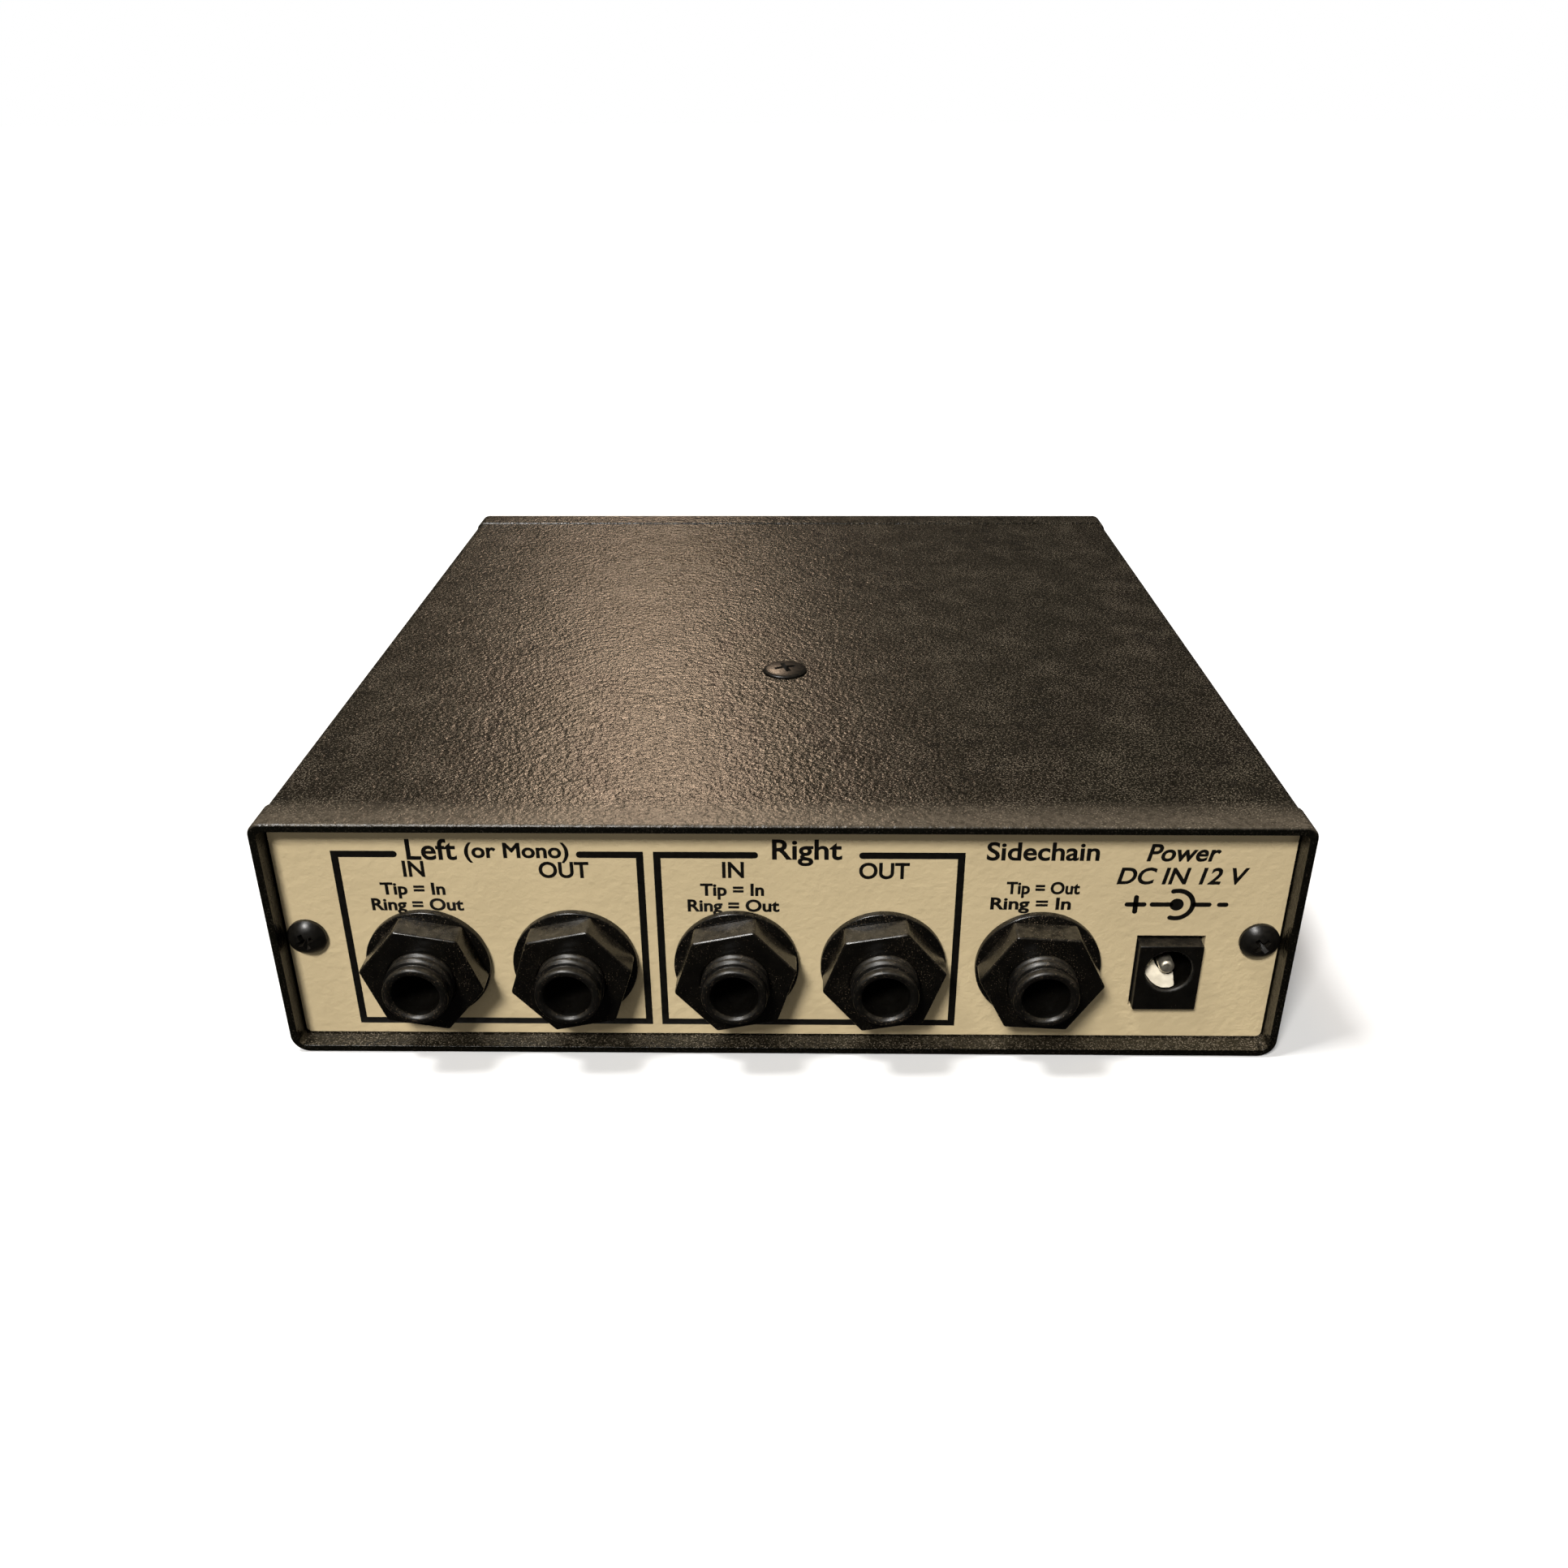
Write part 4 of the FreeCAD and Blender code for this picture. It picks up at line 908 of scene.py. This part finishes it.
# Two frames, each open at the top where its title stands.
for left, right, gap_left, gap_right in (
    (-60.1, -18.94, -52.1, -27.0),
    (-16.62, 24.24, -3.5, 11.0),
):
    add_outline(rear_ink, ribbon([
        (gap_left, TITLE_LINE_Z), (left, TITLE_LINE_Z), (left, FRAME_BOTTOM_Z),
        (right, FRAME_BOTTOM_Z), (right, TITLE_LINE_Z), (gap_right, TITLE_LINE_Z),
    ], FRAME_LINE))

# Words, left and right ends, baseline and height of the capitals.
for words, left, right, baseline, cap in (
    ("Left", -50.35, -43.55, 30.28, 3.05),
    ("(or Mono)", -42.5, -28.45, 30.6, 2.2),
    ("Right", -1.15, 8.25, 30.5, 2.95),
    ("Sidechain", 27.55, 42.6, 30.48, 2.65),
    ("IN", -51.15, -48.2, 27.6, 2.36),
    ("IN", -7.9, -4.95, 27.6, 2.36),
    ("OUT", -32.7, -25.9, 27.5, 2.36),
    ("OUT", 10.55, 17.35, 27.53, 2.36),
    ("Tip = In", -54.6, -45.75, 24.73, 1.8),
    ("Tip = In", -10.96, -2.28, 24.75, 1.8),
    ("Ring = Out", -56.15, -43.5, 22.2, 1.8),
    ("Ring = Out", -12.76, -0.19, 22.2, 1.8),
    ("Tip = Out", 30.55, 40.5, 25.2, 1.8),
    ("Ring = In", 28.55, 39.5, 22.72, 1.8),
):
    add_text(rear_ink, words, left, right, baseline, cap)
POWER_SLANT = 0.2
add_text(rear_ink, "Power", 48.9, 58.75, 30.44, 2.5, slant=POWER_SLANT)
add_text(rear_ink, "DC IN 12 V", 45.3, 62.9, 26.85, 2.44, slant=POWER_SLANT)

# Polarity symbol: plus, line, open ring round a dot, line, minus.
POLARITY_X = 53.82
POLARITY_Z = 23.56
SYMBOL_LINE = 0.68
for points in (
    [(47.1, POLARITY_Z), (49.4, POLARITY_Z)],
    [(48.25, POLARITY_Z - 1.15), (48.25, POLARITY_Z + 1.15)],
    [(50.5, POLARITY_Z), (53.0, POLARITY_Z)],
    [(56.2, POLARITY_Z), (58.2, POLARITY_Z)],
    [(59.6, POLARITY_Z), (60.5, POLARITY_Z)],
    arc(POLARITY_X, POLARITY_Z, 2.2, -108.0, 108.0),
):
    add_outline(rear_ink, ribbon(points, SYMBOL_LINE))
add_outline(rear_ink, disc(POLARITY_X, POLARITY_Z, 0.95))
finish_piece(rear_ink, "rear_legends", on_rear(), "unit", "black_paint")

# Control side: names, scale ticks and meter steps.
KNOBS = ["threshold", "ratio", "attack", "release", "level"]
BUTTONS = ["bypass", "mode"]
METER_STEPS = ["1", "2", "4", "6", "9", "12", "16", "20"]
KNOB_Z = KNOB_JOINTS["threshold_turn"].z
TICK_COUNT = 11
FIRST_TICK_ANGLE = 240.0
TICK_SPACING = 30.0
TICK_FROM = 8.1
LONG_TICK = 1.3
SHORT_TICK = 0.8
FIRST_BUTTON = 46.5
BUTTON_SPACING = 9.5
FIRST_METER_STEP = -17.5
METER_SPACING = 5.0
LETTER_WIDTH = 1.15
DIGIT_WIDTH = 0.9
DIGIT_ONE_WIDTH = 0.45

front_ink = bmesh.new()
for name in KNOBS:
    words = name.capitalize()
    across = -KNOB_JOINTS[f"{name}_turn"].x
    width = LETTER_WIDTH * len(words)
    add_text(front_ink, words, across - width / 2, across + width / 2, baseline=3.0, cap=1.7)
    centre = Vector((across, KNOB_Z))
    for tick in range(TICK_COUNT):
        turn = math.radians(FIRST_TICK_ANGLE - TICK_SPACING * tick)
        direction = Vector((math.cos(turn), math.sin(turn)))
        length = LONG_TICK if tick % 5 == 0 else SHORT_TICK
        ends = [centre + direction * TICK_FROM, centre + direction * (TICK_FROM + length)]
        add_outline(front_ink, ribbon(ends, 0.3))
for index, name in enumerate(BUTTONS):
    across = FIRST_BUTTON + BUTTON_SPACING * index
    add_text(front_ink, name.capitalize(), across - 3.2, across + 3.2, baseline=18.6, cap=1.5)
for index, words in enumerate(METER_STEPS):
    across = FIRST_METER_STEP + METER_SPACING * index
    width = DIGIT_ONE_WIDTH if words == "1" else DIGIT_WIDTH * len(words)
    add_text(front_ink, words, across - width / 2, across + width / 2, baseline=31.6, cap=1.3)
finish_piece(front_ink, "front_legends", on_front(), "unit", "black_paint")

# ---------------------------------------------------------------------------
# Knobs: fluted grip, softly rounded front, cream pointer line.

KNOB_BACK = 0.5
KNOB_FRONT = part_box("threshold_knob")[1].y / MM - FRONT_FACE
KNOB_ROUNDING = 0.6
GRIP_FROM = 2.5
GRIP_BOTTOM_RADIUS = 7.15
GRIP_TAPER = 0.35
GRIP_TOP_RADIUS = 6.8
FLUTES = 24
FLUTE_DEPTH = 0.28


def fluting(radius, height, angle):
    """Shallow flutes on the grip, none on the skirt, the rounded front or the inside."""
    if radius < 6.5 or not 2.4 < height < KNOB_FRONT - 0.5:
        return radius
    return radius - FLUTE_DEPTH * (0.5 - 0.5 * math.cos(FLUTES * angle)) ** 2


def knob_profile():
    """Profile of a knob from its hollow back, out round the skirt, up the grip and over the front."""
    points = [
        (0.0, 3.4), (2.9, 3.4), (2.9, KNOB_BACK + 2.8), (6.3, KNOB_BACK + 2.8), (6.3, KNOB_BACK),
        (7.35, KNOB_BACK), (7.5, KNOB_BACK + 0.15), (7.5, 1.9), (7.4, 2.1), (7.2, 2.25),
        (GRIP_BOTTOM_RADIUS, GRIP_FROM),
    ]
    for step in range(1, 9):
        height = GRIP_FROM + (KNOB_FRONT - 0.7 - GRIP_FROM) * step / 8
        points.append((GRIP_BOTTOM_RADIUS - GRIP_TAPER * step / 8, height))
    points += rounded_rim(GRIP_TOP_RADIUS, KNOB_FRONT, KNOB_ROUNDING)
    points += [(5.4, KNOB_FRONT - 0.02), (5.1, KNOB_FRONT - 0.25), (0.0, KNOB_FRONT - 0.25)]
    return points


for name in KNOBS:
    place = on_front(KNOB_JOINTS[f"{name}_turn"].x, KNOB_Z)
    finish_piece(
        lathe(knob_profile(), steps=192, shape=fluting), f"{name}_grip", place, f"{name}_control",
        "knob_plastic", [f"{name}_knob"], sharp=40.0,
    )
    mark = bmesh.new()
    add_outline(mark, ribbon([(0.0, 1.6), (0.0, 4.6)], 0.8))
    bmesh.ops.translate(mark, vec=(0.0, 0.0, KNOB_FRONT - 0.255), verts=mark.verts)
    finish_piece(mark, f"{name}_pointer", place, f"{name}_control", "panel_paint")

# Push-button caps with rounded edges, each with a collar behind the panel.
CAP_HALF = 3.0
CAP_BACK = -2.6
COLLAR_HALF = 3.9
for name in BUTTONS:
    low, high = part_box(f"{name}_cap")
    centre_x = (low.x + high.x) / 2 / MM
    centre_z = (low.z + high.z) / 2 / MM
    place = on_front(centre_x, centre_z)
    top = high.y / MM - FRONT_FACE
    cap = finish_piece(
        slab(-CAP_HALF, CAP_HALF, -CAP_HALF, CAP_HALF, CAP_BACK, top),
        f"{name}_button_face", place, f"{name}_button", "button_plastic", [f"{name}_cap"],
    )
    bevel(cap, 0.55, segments=4)
    collar_back = low.y / MM - FRONT_FACE
    collar = finish_piece(
        slab(-COLLAR_HALF, COLLAR_HALF, -COLLAR_HALF, COLLAR_HALF, collar_back, collar_back + 1.0),
        f"{name}_button_collar", place, f"{name}_button", "button_plastic", [f"{name}_cap"],
    )
    bevel(collar, 0.2)

# ---------------------------------------------------------------------------
# Camera: facing the socket panel and looking down on the top.

CAMERA_AT = Vector((2.81, -223.42, 121.09)) * MM
PITCH_DOWN = math.radians(27.244)
YAW = math.radians(0.861)
ROLL = math.radians(-0.234)
FOCAL = 30.53
SENSOR_WIDTH = 36.0

camera_data = bpy.data.cameras.new("camera")
camera_data.sensor_width = SENSOR_WIDTH
camera_data.lens = FOCAL
camera_data.clip_start = 0.005
camera_data.clip_end = 100.0
camera = bpy.data.objects.new("camera", camera_data)
bpy.context.scene.collection.objects.link(camera)
camera.matrix_world = (
    Matrix.Translation(CAMERA_AT)
    @ Matrix.Rotation(YAW, 4, "Z")
    @ Matrix.Rotation(math.pi / 2 - PITCH_DOWN, 4, "X")
    @ Matrix.Rotation(ROLL, 4, "Z")
)
bpy.context.scene.camera = camera

# ---------------------------------------------------------------------------
# Studio: pale floor, soft lights, even surroundings. The floor, lights and world stay in metres.

FLOOR_GAP = 0.0001
GLOW_FROM = 0.12
GLOW_TO = 0.42
LIGHTS_AIM_HEIGHT = 0.02


def studio_floor():
    """Pale floor that brightens to plain white away from the object."""
    mesh = bmesh.new()
    bmesh.ops.create_grid(mesh, x_segments=1, y_segments=1, size=8.0)
    data = bpy.data.meshes.new("studio_floor")
    mesh.to_mesh(data)
    mesh.free()
    look = Surface("studio_floor")
    look.shader.inputs["Specular IOR Level"].default_value = 0.0
    look.shader.inputs["Emission Color"].default_value = (1.0, 1.0, 1.0, 1.0)
    look.colour(look.blend(look.noise(400.0, detail=1.0), (0.62, 0.62, 0.62), (0.64, 0.64, 0.64)))
    look.roughness(look.ramp(look.noise(300.0), 0.3, 0.7, 0.85, 0.95))
    distance = look.tree.nodes.new("ShaderNodeVectorMath")
    distance.operation = "LENGTH"
    look.link(look.place, distance.inputs[0])
    glow = look.ramp(distance.outputs["Value"], GLOW_FROM, GLOW_TO, 0.12, 1.05)
    look.link(glow, look.shader.inputs["Emission Strength"])
    data.materials.append(look.material)
    floor = bpy.data.objects.new("studio_floor", data)
    bpy.context.scene.collection.objects.link(floor)
    floor.location.z = cad_box[0].z - FLOOR_GAP
    floor.visible_glossy = False
    floor.visible_diffuse = False


def soft_light(name, azimuth, elevation, distance, size, watts, colour):
    """Area light aimed at the object; azimuth is measured from +Y towards +X."""
    turn = math.radians(azimuth)
    lift = math.radians(elevation)
    aim = Vector((0.0, 0.0, LIGHTS_AIM_HEIGHT))
    data = bpy.data.lights.new(name, "AREA")
    data.shape = "RECTANGLE"
    data.size, data.size_y = size
    data.energy = watts
    data.color = colour
    light = bpy.data.objects.new(name, data)
    light.location = aim + distance * Vector((
        math.sin(turn) * math.cos(lift), math.cos(turn) * math.cos(lift), math.sin(lift),
    ))
    light.rotation_euler = (aim - light.location).to_track_quat("-Z", "Y").to_euler()
    bpy.context.scene.collection.objects.link(light)
    return light


studio_floor()
soft_light("key", 200.0, 43.0, 1.3, (0.26, 0.26), 19.4, (1.0, 0.98, 0.95))
soft_light("overhead", -112.0, 67.0, 1.4, (0.26, 0.26), 18.0, (1.0, 0.99, 0.97))
soft_light("warm_back", -8.0, 34.5, 1.6, (0.12, 0.45), 4.5, (1.0, 0.72, 0.50))
fill = soft_light("fill", 180.0, 12.0, 1.2, (1.2, 0.8), 2.6, (1.0, 0.98, 0.95))
control_fill = soft_light("control_fill", 0.0, 12.0, 1.2, (1.2, 0.8), 6.0, (1.0, 0.98, 0.95))
for light in (fill, control_fill):
    light.visible_glossy = False

# The camera sees a white world; everything else is lit by a nearly black one.
world = bpy.data.worlds.new("studio")
world.use_nodes = True
bpy.context.scene.world = world
tree = world.node_tree
background = tree.nodes["Background"]
path = tree.nodes.new("ShaderNodeLightPath")
seen = tree.nodes.new("ShaderNodeMix")
seen.data_type = "RGBA"
seen_inputs = [socket for socket in seen.inputs if socket.type == "RGBA"]
seen_inputs[0].default_value = (0.020, 0.019, 0.018, 1.0)
seen_inputs[1].default_value = (1.0, 1.0, 1.0, 1.0)
tree.links.new(path.outputs["Is Camera Ray"], seen.inputs["Factor"])
tree.links.new(next(s for s in seen.outputs if s.type == "RGBA"), background.inputs["Color"])
bpy.context.scene.view_settings.view_transform = "Standard"
